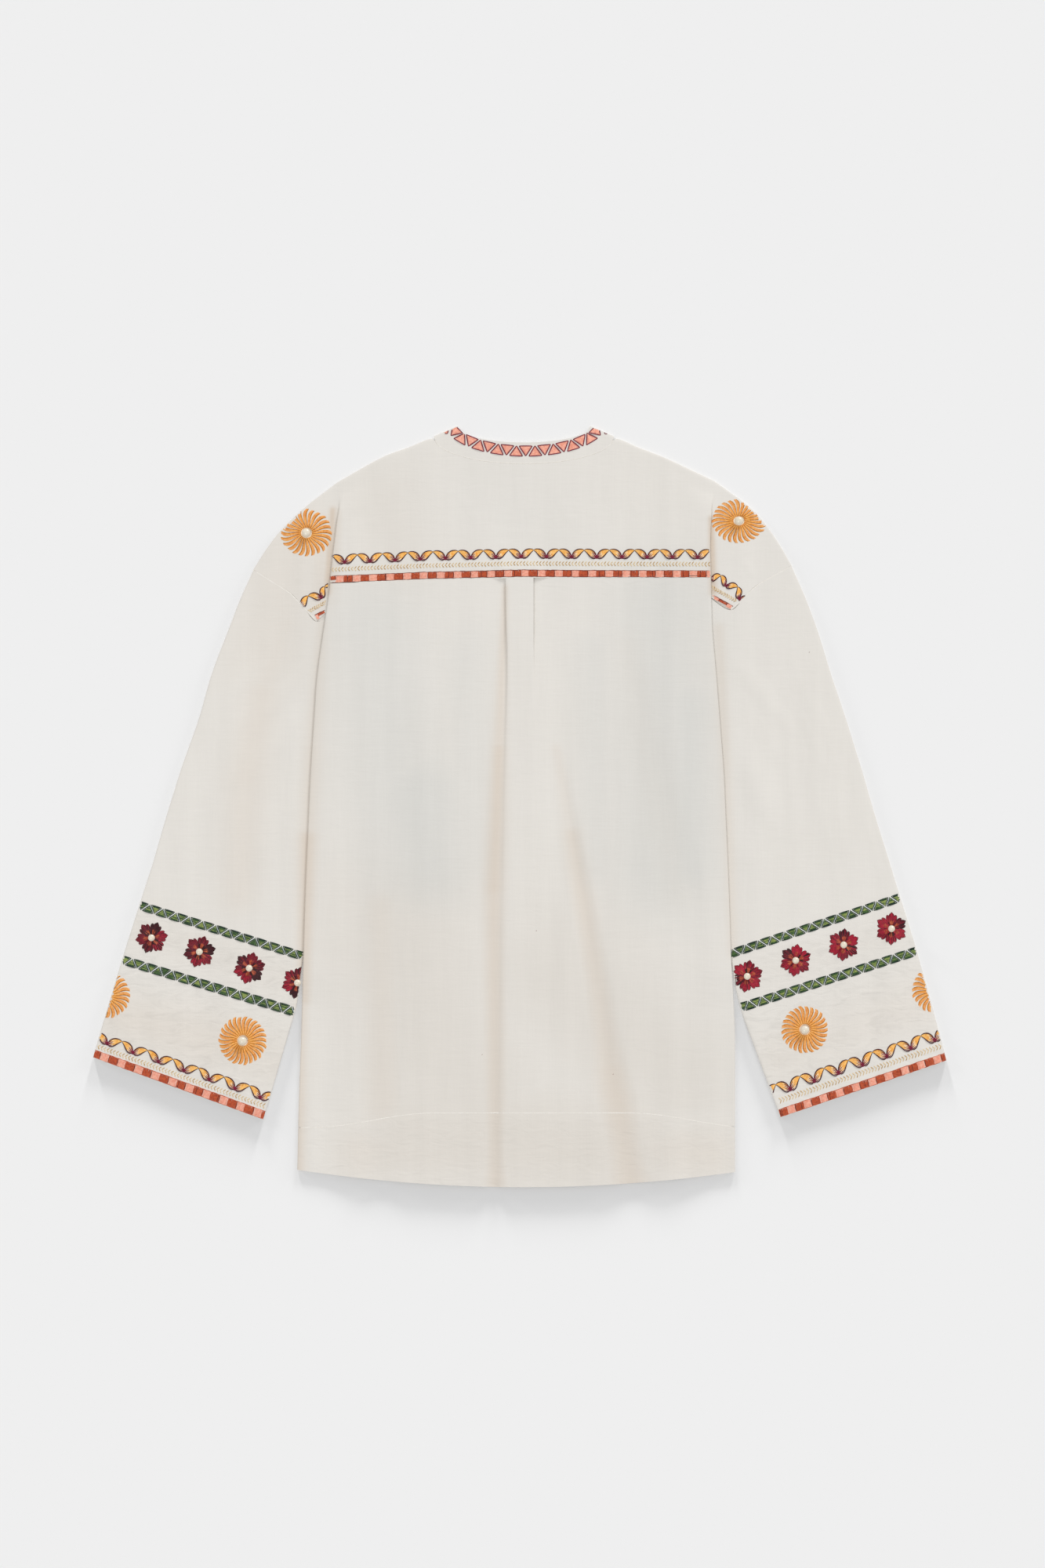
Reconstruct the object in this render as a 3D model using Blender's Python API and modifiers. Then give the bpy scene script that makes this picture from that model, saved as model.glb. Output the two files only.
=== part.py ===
"""Embroidered cotton blouse, laid flat on its front with its back up.

X runs across the blouse, Y from hem to neck and Z up from the floor. The origin is on the
floor under the middle of the blouse. Sizes here are in millimetres; meshes are in metres.
"""

import math
from collections import namedtuple

import bmesh
import bpy
from mathutils import Vector

MM = 0.001

# Cloth walls and the gap between two that touch
WALL = 1.0
GAP = 0.3
LAYER = WALL + GAP
BEND_STEPS = 3
BEND_ENDS = 0.93
BEND = LAYER / 2
BULGE = BEND + WALL / 2

# Body: seams between yoke, back and hem band, and the swell of the back over the front
YOKE_SEAM_Y = 219.0
HEM_SEAM_Y = -293.0
BACK_SWELL = 2.0
SWELL_GROWS_OVER = 150.0
SEAM_DROP = 7.0
SEAM_SHIFT = 0.6

# Folded side of the back: where it climbs over the sleeve, and its hidden seam over the front
CLIMB = {"from": -195.0, "over": 40.0}
SEAM_CLIMB = {"from": 60.0, "over": 32.0}

# Hem: the curve of its seam at both sides, and of its lower edge
HEM_SEAM = {"middle": 12.0, "flat": 95.0, "curve": 115.0, "dip": 14.0}
HEM_EDGE = {"middle": 4.0, "y": -364.0, "half": 213.0, "rise": 16.0}
FRONT_HEM_SHORTER = 2.0

# Neckline ellipses of the band: outer edge, inner edge and the deeper front
NECK_X = 4.0
BAND_OUTER = {"y": 353.0, "half": 86.0, "back": 25.0, "front": 110.0}
BAND_INNER = {"y": 363.0, "half": 63.0, "back": 15.0, "front": 100.0}
NECK_GAP = 0.6
SLIT_LENGTH = 150.0
SLIT_WIDTH = 1.0

# Motifs
SATIN = 0.5
STRIP = 7.5
MOTIF_HEIGHT = 0.5 * WALL + GAP + 0.5 * SATIN
FLOWER_RADIUS = 15.0
FLOWERS_ALONG = 135.0
PEARL_RADIUS = 3.3
SUN_PEARL_RADIUS = 4.2

# Visible side edge of the back, folded under, from hem to above the tuck
Edge = namedtuple("Edge", "y left right")
BODY_EDGE = [
    Edge(-370, -213, 206),
    Edge(-280, -212, 206),
    Edge(-212, -209, 206),
    Edge(-140, -207, 202),
    Edge(-76, -205, 200),
    Edge(36, -200, 195),
    Edge(126, -194, 188),
    Edge(170, -188, 184),
    Edge(214, -182, 183),
    Edge(250, -178, 182),
    Edge(298, -172, 185),
    Edge(312, -171, 186),
]

# Line where the layer folded under drops past the sleeve's inner edge
UNDER_EDGE = [
    Edge(-370, -203.0, 196.0),
    Edge(-165, -200.0, 193.0),
    Edge(-140, -197.0, 191.0),
    Edge(-102, -194.0, 188.0),
    Edge(-57, -183.0, 179.0),
    Edge(-12, -172.0, 169.0),
    Edge(33, -161.0, 159.5),
    Edge(80, -151.0, 151.0),
    Edge(219, -156.8, 157.8),
]

# Shoulder line from the sleeve to the neck, by distance from the middle
Shoulder = namedtuple("Shoulder", "x y")
SHOULDER = {
    "left": [
        Shoulder(-255, 226),
        Shoulder(-236, 256),
        Shoulder(-208, 284),
        Shoulder(-174, 310),
        Shoulder(-132, 334),
        Shoulder(-83, 352),
    ],
    "right": [
        Shoulder(91, 352),
        Shoulder(140, 333),
        Shoulder(186, 311),
        Shoulder(222, 285),
        Shoulder(244, 258),
        Shoulder(260, 230),
    ],
}

# Tuck at each shoulder, by distance below its tip: how far it spreads or, below 0, doubles
Tuck = namedtuple("Tuck", "down spread rise")
TUCK_TIP_Y = 298.0
TUCK = [
    Tuck(-15, 10.0, 0.15),
    Tuck(0, 8.0, 0.5),
    Tuck(8, 4.0, 1.6),
    Tuck(16, 1.5, 2.4),
    Tuck(22, 0.0, 2.6),
    Tuck(84, -24.0, 2.6),
]

# Box pleat: its two edges, how each spreads out again, and its height over the back
Pleat = namedtuple("Pleat", "y left right spread_left spread_right lift")
PLEAT = [
    Pleat(219, -14.0, 13.5, -11.0, -11.0, 2.6),
    Pleat(190, -13.5, 13.5, -7.0, -7.0, 2.6),
    Pleat(165, -13.0, 13.5, 0.0, 0.0, 2.6),
    Pleat(150, -13.0, 14.0, 2.0, 2.0, 2.3),
    Pleat(130, -13.0, 14.5, 3.5, 5.0, 1.7),
    Pleat(100, -13.5, 15.0, 5.0, 9.0, 0.9),
    Pleat(60, -14.5, 16.0, 6.0, 12.0, 0.3),
    Pleat(20, -15.5, 17.0, 7.0, 14.0, 0.0),
    Pleat(-100, -18.0, 18.0, 9.0, 14.0, 0.0),
    Pleat(-370, -21.0, 18.0, 12.0, 14.0, 0.0),
]

# Soft valleys in the back: middle line, half width and share of the swell they take away
Valley = namedtuple("Valley", "y x half depth")
LEFT_VALLEY = [
    Valley(219, -90, 13, 0.0),
    Valley(80, -85, 13, 0.0),
    Valley(33, -98, 13, 0.0),
    Valley(-57, -118, 13, 0.1),
    Valley(-114, -126, 13, 0.45),
    Valley(-370, -132, 13, 0.6),
]
RIGHT_VALLEY = [
    Valley(219, 43, 5, 0.0),
    Valley(90, 43, 5, 0.1),
    Valley(14, 43, 6, 0.6),
    Valley(-76, 58, 8, 0.8),
    Valley(-166, 73, 11, 0.85),
    Valley(-264, 88, 14, 0.85),
    Valley(-370, 108, 18, 0.85),
]
PLEAT_VALLEY = [
    Valley(219, 0, 8, 0.0),
    Valley(150, 0, 8, 0.6),
    Valley(60, 0, 10, 0.8),
    Valley(-370, 0, 14, 0.85),
]

# Ribs of the yoke beside the neck: where each stands on the seam and at the top edge
Rib = namedtuple("Rib", "foot top")
OUTER_RIBS = {"left": Rib(-100, -106), "right": Rib(103, 114)}
NECK_FOOT = {"left": -84, "right": 87}
NECK_CORNER = {"left": -83, "right": 91}
NECK_STEPS = 12

# Sleeve sections from cuff to underarm: ends of each on the outer and the inner edge
Section = namedtuple("Section", "along out_x out_y in_x in_y")
SLEEVE = {
    "left": [
        Section(0, -408.5, -240.0, -245.0, -299.6),
        Section(101, -379.5, -143.0, -213.8, -192.4),
        Section(156, -363.0, -91.0, -206.0, -140.0),
        Section(195, -351.0, -54.0, -196.5, -102.0),
        Section(241, -338.0, -9.0, -185.0, -57.0),
        Section(289, -324.0, 36.0, -174.0, -12.0),
        Section(336, -308.0, 81.0, -163.0, 33.0),
    ],
    "right": [
        Section(0, 408.5, -243.0, 249.0, -297.5),
        Section(112, 379.0, -134.6, 209.0, -189.0),
        Section(166, 363.0, -83.6, 200.0, -137.6),
        Section(197, 354.0, -54.0, 190.5, -102.0),
        Section(244, 340.0, -9.0, 180.5, -57.0),
        Section(291, 327.0, 36.0, 171.0, -12.0),
        Section(338, 313.0, 81.0, 161.0, 33.0),
    ],
}

# Outer edge of the sleeve above the underarm, as a share of the way up to the shoulder
Crown = namedtuple("Crown", "share x y")
SLEEVE_CROWN = {
    "left": [
        Crown(0.0, -308, 81),
        Crown(0.3, -295, 126),
        Crown(0.6, -278, 171),
        Crown(0.8, -268, 197),
        Crown(1.0, -255, 226),
    ],
    "right": [
        Crown(0.0, 313, 81),
        Crown(0.3, 298, 126),
        Crown(0.6, 284, 171),
        Crown(0.8, 274, 198),
        Crown(1.0, 260, 230),
    ],
}

# Armhole seam: shoulder, along the dropped seam to the yoke's corner, and hidden to the underarm
ARMHOLE = {
    "left": [(-255, 226), (-220, 204), (-194, 177), (-157, 210), (-153, 140), (-153, 78)],
    "right": [(260, 230), (227.2, 211.4), (202, 188), (158, 214), (153, 140), (153, 78)],
}
YOKE_CORNER = 2
TUCK_CORNER = 3

# Soft ridges along each sleeve: top and foot of the ridge line, half width and height
Ridge = namedtuple("Ridge", "x_top y_top x_foot y_foot half height")
SLEEVE_RIDGES = {
    "left": [Ridge(-264, 150, -292, -80, 20, 2.4), Ridge(-226, 130, -246, -85, 17, 2.0)],
    "right": [Ridge(232, 140, 226, -90, 18, 2.2), Ridge(276, 150, 300, -70, 24, 1.6)],
}

# Middles of the flowers between the green bands
Flower = namedtuple("Flower", "name x y")
FLOWERS = [
    Flower("left_1", -352.0, -125.5),
    Flower("left_2", -307.0, -141.0),
    Flower("left_3", -259.0, -155.5),
    Flower("left_4", -212.5, -169.0),
    Flower("right_1", 218.0, -163.5),
    Flower("right_2", 265.0, -148.5),
    Flower("right_3", 310.0, -133.0),
    Flower("right_4", 356.0, -118.0),
]

# Suns: middle, radius, height of the oval they show over its width, and the way they turn
Sun = namedtuple("Sun", "name x y radius tall swirl")
SUNS = [
    Sun("cuff_left", -265.0, -225.0, 23.0, 1.0, 1),
    Sun("cuff_right", 272.5, -214.0, 22.5, 1.0, -1),
    Sun("shoulder_left", -204.0, 261.5, 24.0, 1.0, 1),
    Sun("shoulder_right", 209.5, 273.0, 23.0, 0.86, -1),
]
HALF_SUNS = [
    Sun("edge_left", -392.0, -184.5, 22.0, 1.0, 1),
    Sun("edge_right", 391.5, -178.5, 22.0, 1.0, -1),
]

Finish = namedtuple("Finish", "colour roughness")
FINISHES = {
    "ivory_cotton": Finish("E6E2DA", 0.85),
    "green_satin_stitch": Finish("54744A", 0.5),
    "rust_satin_stitch": Finish("B5573F", 0.5),
    "crimson_satin_stitch": Finish("951B34", 0.5),
    "gold_satin_stitch": Finish("EFA95A", 0.5),
    "pearl_bead": Finish("EAE1CE", 0.25),
}


def level(layer):
    """Height of the middle of a cloth wall, counting layers up from the floor."""
    return WALL / 2 + (layer - 1) * LAYER


def read(table, column, at):
    """Value of a named column on straight lines between rows, which go by the first column."""
    rows = sorted(table)
    below = [row for row in rows if row[0] <= at] or rows[:1]
    above = [row for row in rows if row[0] > at] or rows[-1:]
    low, high = below[-1], above[0]
    span = high[0] - low[0]
    share = (at - low[0]) / span if span > 0 else 0.0
    share = min(max(share, 0.0), 1.0)
    return getattr(low, column) * (1 - share) + getattr(high, column) * share


def ease(share):
    """Smooth step from 0 to 1."""
    share = min(max(share, 0.0), 1.0)
    return share * share * (3 - 2 * share)


def mix(a, b, share):
    return a * (1 - share) + b * share


def walk(points, share):
    """Point at a share of the way along a line through points."""
    points = [Vector(p) for p in points]
    runs = [(b - a).length for a, b in zip(points, points[1:])]
    left = share * sum(runs)
    for (a, b), run in zip(zip(points, points[1:]), runs):
        if left <= run:
            return a.lerp(b, left / run)
        left -= run
    return points[-1]


def shifted(points, distance):
    """Line moved sideways to the right of its direction, or to the left below 0."""
    points = [Vector(p) for p in points]
    runs = [(b - a).normalized() for a, b in zip(points, points[1:])]
    moved = []
    for number, point in enumerate(points):
        before, after = runs[max(number - 1, 0)], runs[min(number, len(runs) - 1)]
        normal = Vector((before.y + after.y, -before.x - after.x)).normalized()
        lean = max(normal.dot(Vector((before.y, -before.x))), 0.4)
        moved.append(point + normal * distance / lean)
    return moved


def stations(points, each):
    """Shares of the way along a line at its points and at even places between them."""
    points = [Vector(p) for p in points]
    runs = [(b - a).length for a, b in zip(points, points[1:])]
    shares = [0.0]
    for number, run in enumerate(runs):
        start = sum(runs[:number])
        shares += [(start + run * step / each) / sum(runs) for step in range(1, each + 1)]
    return shares


def linear(hex_colour):
    """Scene-linear colour of an sRGB hex value."""
    channels = [int(hex_colour[i:i + 2], 16) / 255 for i in (0, 2, 4)]
    return [c / 12.92 if c <= 0.04045 else ((c + 0.055) / 1.055) ** 2.4 for c in channels]


def make_material(name):
    material = bpy.data.materials.new(name)
    material.use_nodes = True
    shader = material.node_tree.nodes["Principled BSDF"]
    shader.inputs["Base Color"].default_value = linear(FINISHES[name].colour) + [1.0]
    shader.inputs["Roughness"].default_value = FINISHES[name].roughness
    shader.inputs["Metallic"].default_value = 0.0
    return material


def place_object(name, data, finish):
    """Object of the blouse's collection with its own finish."""
    piece = bpy.data.objects.new(name, data)
    if finish not in bpy.data.materials:
        make_material(finish)
    data.materials.append(bpy.data.materials[finish])
    bpy.data.collections["blouse"].objects.link(piece)
    return piece


def cloth(name, net, finish, thickness=WALL, tube=False, without=lambda row, column: False):
    """Even wall about a net of points: rows of columns, in millimetres."""
    columns = len(net[0])
    bm = bmesh.new()
    bmesh.ops.create_grid(bm, x_segments=columns - 1, y_segments=len(net) - 1, size=1.0)
    bm.verts.ensure_lookup_table()
    spare = []
    for face in bm.faces:
        row, column = divmod(min(vertex.index for vertex in face.verts), columns)
        if without(row, column):
            spare.append(face)
    for number, vertex in enumerate(bm.verts):
        row, column = divmod(number, columns)
        vertex.co = Vector(net[row][column]) * MM
    bmesh.ops.delete(bm, geom=spare, context="FACES")
    if tube:
        bmesh.ops.remove_doubles(bm, verts=bm.verts, dist=0.001 * MM)
    mesh = bpy.data.meshes.new(name)
    bm.to_mesh(mesh)
    bm.free()
    piece = place_object(name, mesh, finish)
    wall = piece.modifiers.new("wall", "SOLIDIFY")
    wall.thickness = thickness * MM
    wall.offset = 0.0
    return piece


def flat_piece(name, outline, finish, middle, thickness=WALL):
    """Flat plate of an outline in plan, centred at a height."""
    curve = bpy.data.curves.new(name, "CURVE")
    curve.dimensions = "2D"
    curve.fill_mode = "BOTH"
    curve.extrude = thickness / 2 * MM
    curve.render_resolution_u = 0
    spline = curve.splines.new("POLY")
    spline.points.add(len(outline) - 1)
    for point, (x, y) in zip(spline.points, outline):
        point.co = (x * MM, y * MM, 0.0, 1.0)
    spline.use_cyclic_u = True
    piece = place_object(name, curve, finish)
    piece.location.z = middle * MM
    return piece


def fold(edge, inward, low, high, spread):
    """Across a fold that climbs from low to high: x and z pairs, from its foot to its top.

    A spread above 0 is a soft step of that width. Below 0 the cloth doubles back so far.
    """
    rise = high - low
    turn = 2 * math.atan2(rise, max(spread, 0.0))
    radius = rise / (2 * (1 - math.cos(turn)))
    doubled = max(-spread, 0.0)
    shares = [step / BEND_STEPS for step in range(BEND_STEPS)] + [BEND_ENDS]
    bend = [(radius * math.sin(turn * share), radius * (1 - math.cos(turn * share)))
            for share in shares]
    width = 2 * radius * math.sin(turn) - doubled
    path = bend + [(width - x, rise - z) for x, z in reversed(bend)]
    middle = width / 2
    hidden = (1 - math.cos(turn)) / 2 * (WALL / 2 + radius + doubled / 2)
    return [(edge + inward * (x - middle + hidden), low + z) for x, z in path]


def inward(side):
    return 1 if side == "left" else -1


def seam_y(x):
    """Yoke seam, a little lower at the left."""
    return YOKE_SEAM_Y + (0.03 * x if x < 0 else 0.008 * x)


def hem_seam_y(x):
    """Seam of the hem band, which bows down at both sides."""
    past = abs(x - HEM_SEAM["middle"]) - HEM_SEAM["flat"]
    return HEM_SEAM_Y - HEM_SEAM["dip"] * ease(past / HEM_SEAM["curve"])


def hem_y(x):
    """Lower edge of the hem band."""
    across = abs(x - HEM_EDGE["middle"]) / HEM_EDGE["half"]
    return HEM_EDGE["y"] + HEM_EDGE["rise"] * across ** 2


def valley(table, y, x, middle=None):
    """Share of the swell that a soft valley takes away at a place."""
    middle = read(table, "x", y) if middle is None else middle
    reach = 1.5 * read(table, "half", y)
    across = min(abs(x - middle) / reach, 1.0)
    return read(table, "depth", y) * math.cos(across * math.pi / 2) ** 2


def swell(y, x, pleat_foot):
    """Height of the back's cloth over the layer it lies on."""
    grown = ease((YOKE_SEAM_Y - y) / SWELL_GROWS_OVER)
    from_left = x - read(UNDER_EDGE, "left", y)
    from_right = read(UNDER_EDGE, "right", y) - x
    near_side = ease((min(from_left, from_right) - 12) / 50)
    height = BACK_SWELL * grown * near_side
    for table in (LEFT_VALLEY, RIGHT_VALLEY):
        height *= 1 - valley(table, y, x)
    return height * (1 - valley(PLEAT_VALLEY, y, x, pleat_foot))


# Ramp from the folded side down to the flat back: distance in from the hidden edge, and height
Ramp = namedtuple("Ramp", "distance height")
RAMP = [Ramp(4, 1.0), Ramp(12, 0.8), Ramp(24, 0.3), Ramp(38, 0.0)]


def flank(side, y, pleat_foot):
    """Folded side of the back: from the hidden seam out, round the edge and in on top."""
    turn_in = inward(side)
    edge = read(BODY_EDGE, side, y)
    knee = read(UNDER_EDGE, side, y)
    under = level(1) + 2 * LAYER * ease((y - CLIMB["from"]) / CLIMB["over"])
    seam = level(1) + LAYER * ease((y - SEAM_CLIMB["from"]) / SEAM_CLIMB["over"])
    top = under + LAYER
    tangent = edge + turn_in * BULGE
    path = [(knee + turn_in * SEAM_DROP, seam), (knee, under)]
    for step in range(BEND_STEPS + 1):
        angle = math.pi * step / BEND_STEPS
        x = tangent - turn_in * BEND * math.sin(angle)
        path.append((x, under + BEND * (1 - math.cos(angle))))
    for ramp in RAMP:
        x = knee + turn_in * ramp.distance
        lift = (top - level(2)) * ramp.height + swell(y, x, pleat_foot)
        path.append((x, level(2) + lift))
    return path


def back_section(y):
    """Across the back at a height: x and z of every column, from left to right."""
    pleat_left = read(PLEAT, "left", y)
    pleat_right = read(PLEAT, "right", y)
    lift = read(PLEAT, "lift", y)

    def low(x):
        return level(2) + swell(y, x, pleat_left)

    def high(x):
        return level(2) + BACK_SWELL * ease((YOKE_SEAM_Y - y) / SWELL_GROWS_OVER) + lift

    left_fold = fold(pleat_left, 1, low(pleat_left), high(pleat_left),
                     read(PLEAT, "spread_left", y))
    right_top = max(high(pleat_right), low(pleat_right) + 0.05)
    right_fold = fold(pleat_right, -1, low(pleat_right), right_top,
                      read(PLEAT, "spread_right", y))
    left_flank = flank("left", y, pleat_left)
    right_flank = flank("right", y, pleat_left)

    columns = []
    for table in (LEFT_VALLEY, RIGHT_VALLEY):
        middle = read(table, "x", y)
        half = read(table, "half", y)
        columns.append([middle + half * step for step in (-1.5, -0.75, 0.0, 0.75, 1.5)])
    left_columns, right_columns = columns
    foot = left_fold[0][0]
    left_columns += [mix(left_columns[-1], foot, 0.5), foot - 9.0, foot - 4.0]
    right_end = right_flank[-1][0]
    right_columns += [mix(right_columns[-1], right_end, share) for share in (0.35, 0.7)]

    strip = [(mix(left_fold[-1][0], right_fold[-1][0], share), high(0)) for share in (0.33, 0.67)]
    section = list(left_flank)
    section += [(x, low(x)) for x in left_columns]
    section += left_fold + strip + right_fold[::-1]
    section += [(x, low(x)) for x in right_columns]
    return section + right_flank[::-1]


def back_y(y, x):
    """Place of a row of the back, bent to the yoke seam above and to the hem seam below."""
    near_yoke = ease((y - 119) / 100)
    near_hem = ease((-193 - y) / 100)
    return y + near_yoke * (seam_y(x) - YOKE_SEAM_Y) + near_hem * (hem_seam_y(x) - HEM_SEAM_Y)


def make_back():
    rows = [-292.7, -260, -225, -195, -175, -155, -130, -100, -57, -12, 33, 60, 92, 118, 140,
            156, 165, 185, 203, 218.7]
    net = [[(x, back_y(y, x), z) for x, z in back_section(y)] for y in rows]
    cloth("back_panel", net, "ivory_cotton")


def make_back_hem():
    net = []
    for share in (0.0, 0.35, 0.7, 1.0):
        section = back_section(mix(HEM_EDGE["y"], HEM_SEAM_Y, share))
        net.append([(x, mix(hem_y(x), hem_seam_y(x) - GAP, share), z) for x, z in section])
    cloth("hem_band_back", net, "ivory_cotton")


def on_neck(x):
    """Whether a place across the blouse lies on the yoke's neck edge."""
    return abs(x - NECK_X) < BAND_OUTER["half"]


def yoke_ribs():
    """Columns of the yoke between its tucks, spread like the stitches of the neckband."""
    ribs = [OUTER_RIBS["left"], Rib(NECK_FOOT["left"], NECK_CORNER["left"])]
    for step in range(1, NECK_STEPS):
        foot = mix(NECK_FOOT["left"], NECK_FOOT["right"], step / NECK_STEPS)
        ribs.append(Rib(foot, ellipse(BAND_OUTER, math.pi * step / NECK_STEPS, "back").x))
    return ribs + [Rib(NECK_FOOT["right"], NECK_CORNER["right"]), OUTER_RIBS["right"]]


def neck_y(x):
    """Yoke's neck edge, just outside the band."""
    across = (x - NECK_X) / BAND_OUTER["half"]
    return BAND_OUTER["y"] - BAND_OUTER["back"] * math.sqrt(1 - across * across) - NECK_GAP


def shoulder_y(x):
    side = "left" if x < 0 else "right"
    return read(SHOULDER[side], "y", x)


def top_edge(x):
    """Point of the yoke's top edge, and the direction out of the yoke in plan."""
    if on_neck(x):
        return Vector((x, neck_y(x))), Vector((0.0, 1.0))
    low, high = sorted([x, x + (3.0 if x < 0 else -3.0)])
    out = Vector((shoulder_y(low) - shoulder_y(high), high - low)).normalized()
    return Vector((x, shoulder_y(x))) - out * BULGE, out


def turn_under(x):
    """Direction in which the cloth turned under at the shoulder comes back, in plan."""
    from_neck = ease((abs(x - NECK_X) - 90) / 160)
    return Vector((0.7 * from_neck * (1 if x < 0 else -1), -1 + 0.3 * from_neck)).normalized()


# Rows of the yoke as a share of the way from its seam to its top edge; one row meets the
# bend of the armhole seam
YOKE_ROWS = [0.0, 0.08, 0.26, 0.476, 0.62, 0.72, 0.79, 0.87, 1.0]
YOKE_DEPTH = 97.0
YOKE_RETURN = 8.0
PLEAT_BUMP = 2.6


def tuck_fold(side, share):
    """The shoulder's tuck in a row of the yoke, from its hidden foot to the body's cloth."""
    y = YOKE_SEAM_Y - 5 + YOKE_DEPTH * share
    down = TUCK_TIP_Y - y
    rise = read(TUCK, "rise", down)
    spread = read(TUCK, "spread", down)
    path = fold(read(BODY_EDGE, side, y), inward(side), level(2), level(2) + rise, spread)
    return path, rise


def shoulder_patch(side, share, foot):
    """Shoulder's part of a row, from the armhole seam to the foot of the tuck."""
    seam = [Vector(point) for point in ARMHOLE[side][YOKE_CORNER::-1]]
    start = walk(seam, share)
    tuck_foot = Vector(ARMHOLE[side][TUCK_CORNER])
    top_foot, _ = top_edge(foot[0])
    end = Vector((foot[0], mix(tuck_foot.y, top_foot.y, share)))
    tip = seam[-1]
    inside = Vector((inward(side) * GAP / 2, 2 * GAP))
    points = []
    for step in (0.0, 0.15, 0.32, 0.5, 0.68, 0.85):
        straight = start.lerp(end, step)
        at_top, _ = top_edge(mix(tip.x, foot[0], step))
        bow = at_top - tip.lerp(top_foot, step)
        points.append(straight + bow * share + inside * (1 - share * step))
    return [(p.x, p.y, level(2)) for p in points]


def yoke_row(share):
    """One row of the yoke, from the left armhole to the right one."""
    halves = {}
    for side in ("left", "right"):
        path, rise = tuck_fold(side, share)
        turn_in = inward(side)
        row = shoulder_patch(side, share, path[0])
        for x, z in path:
            row.append((x, mix(seam_y(x) + GAP, top_edge(x)[0].y, share), z))
        knee = max(path, key=lambda point: turn_in * point[0])[0]
        for ramp in RAMP:
            x = knee + turn_in * ramp.distance
            y = mix(seam_y(x) + GAP, top_edge(x)[0].y, share)
            row.append((x, y, level(2) + rise * ramp.height))
        halves[side] = row
    ribs = []
    for rib in yoke_ribs():
        x = mix(rib.foot, rib.top, share)
        top = top_edge(rib.top)[0]
        bump = PLEAT_BUMP * ease((34 - abs(x)) / 20) * ease(1 - share / 0.3)
        ribs.append((x, mix(seam_y(rib.foot) + GAP, top.y, share), level(2) + bump))
    return halves["left"] + ribs + halves["right"][::-1]


def make_yoke():
    net = [yoke_row(share) for share in YOKE_ROWS]
    top = net[-1]
    last_row = len(net) - 1
    for step in range(1, BEND_STEPS + 2):
        row = []
        for x, y, z in top:
            radius = (z - level(1)) / 2
            angle = math.pi * min(step, BEND_STEPS) / BEND_STEPS
            out = top_edge(x)[1] * radius * math.sin(angle)
            height = level(1) + radius * (1 + math.cos(angle))
            back = turn_under(x) * (YOKE_RETURN if step > BEND_STEPS else 0.0)
            row.append((x + out.x + back.x, y + out.y + back.y, height))
        net.append(row)
    neck = [number for number, point in enumerate(top) if on_neck(point[0])]

    def over_neck(row, column):
        return row >= last_row and neck[0] - 1 <= column <= neck[-1]

    cloth("yoke", net, "ivory_cotton", without=over_neck)


def sleeve_end(side, along):
    """Ends of a sleeve section on the outer and the inner edge, at the middle of the wall."""
    table = SLEEVE[side]
    outer = Vector((read(table, "out_x", along), read(table, "out_y", along)))
    inner = Vector((read(table, "in_x", along), read(table, "in_y", along)))
    across = (inner - outer).normalized()
    return outer + across * BULGE, inner - across * BULGE


def sleeve_swell(side, x, y):
    """Height of the sleeve's upper cloth over its lower, along the soft ridges."""
    height = 0.0
    for ridge in SLEEVE_RIDGES[side]:
        share = (ridge.y_top - y) / (ridge.y_top - ridge.y_foot)
        if 0 < share < 1:
            middle = mix(ridge.x_top, ridge.x_foot, share)
            across = min(abs(x - middle) / ridge.half, 1.0)
            fade = ease(share / 0.3) * ease((1 - share) / 0.3)
            height += ridge.height * fade * math.cos(across * math.pi / 2) ** 2
    return height


def sleeve_ring(side, upper, lower):
    """Closed ring of a sleeve from its upper and lower lines in plan, outer edge first."""
    across = (upper[-1] - upper[0]).normalized()
    ring = [(p.x, p.y, level(2) + sleeve_swell(side, p.x, p.y)) for p in upper]
    middle = level(1) + BEND
    for end, out in ((upper[-1], across), (lower[0], -across)):
        start = 0.0 if out is across else math.pi
        for step in range(1, BEND_STEPS):
            angle = start + math.pi * step / BEND_STEPS
            sideways = out * BEND * abs(math.sin(angle))
            ring.append((end.x + sideways.x, end.y + sideways.y,
                         middle + BEND * math.cos(angle)))
        if out is across:
            ring += [(p.x, p.y, level(1)) for p in lower[::-1]]
    ring.append(ring[0])
    return ring if side == "left" else ring[::-1]


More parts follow.
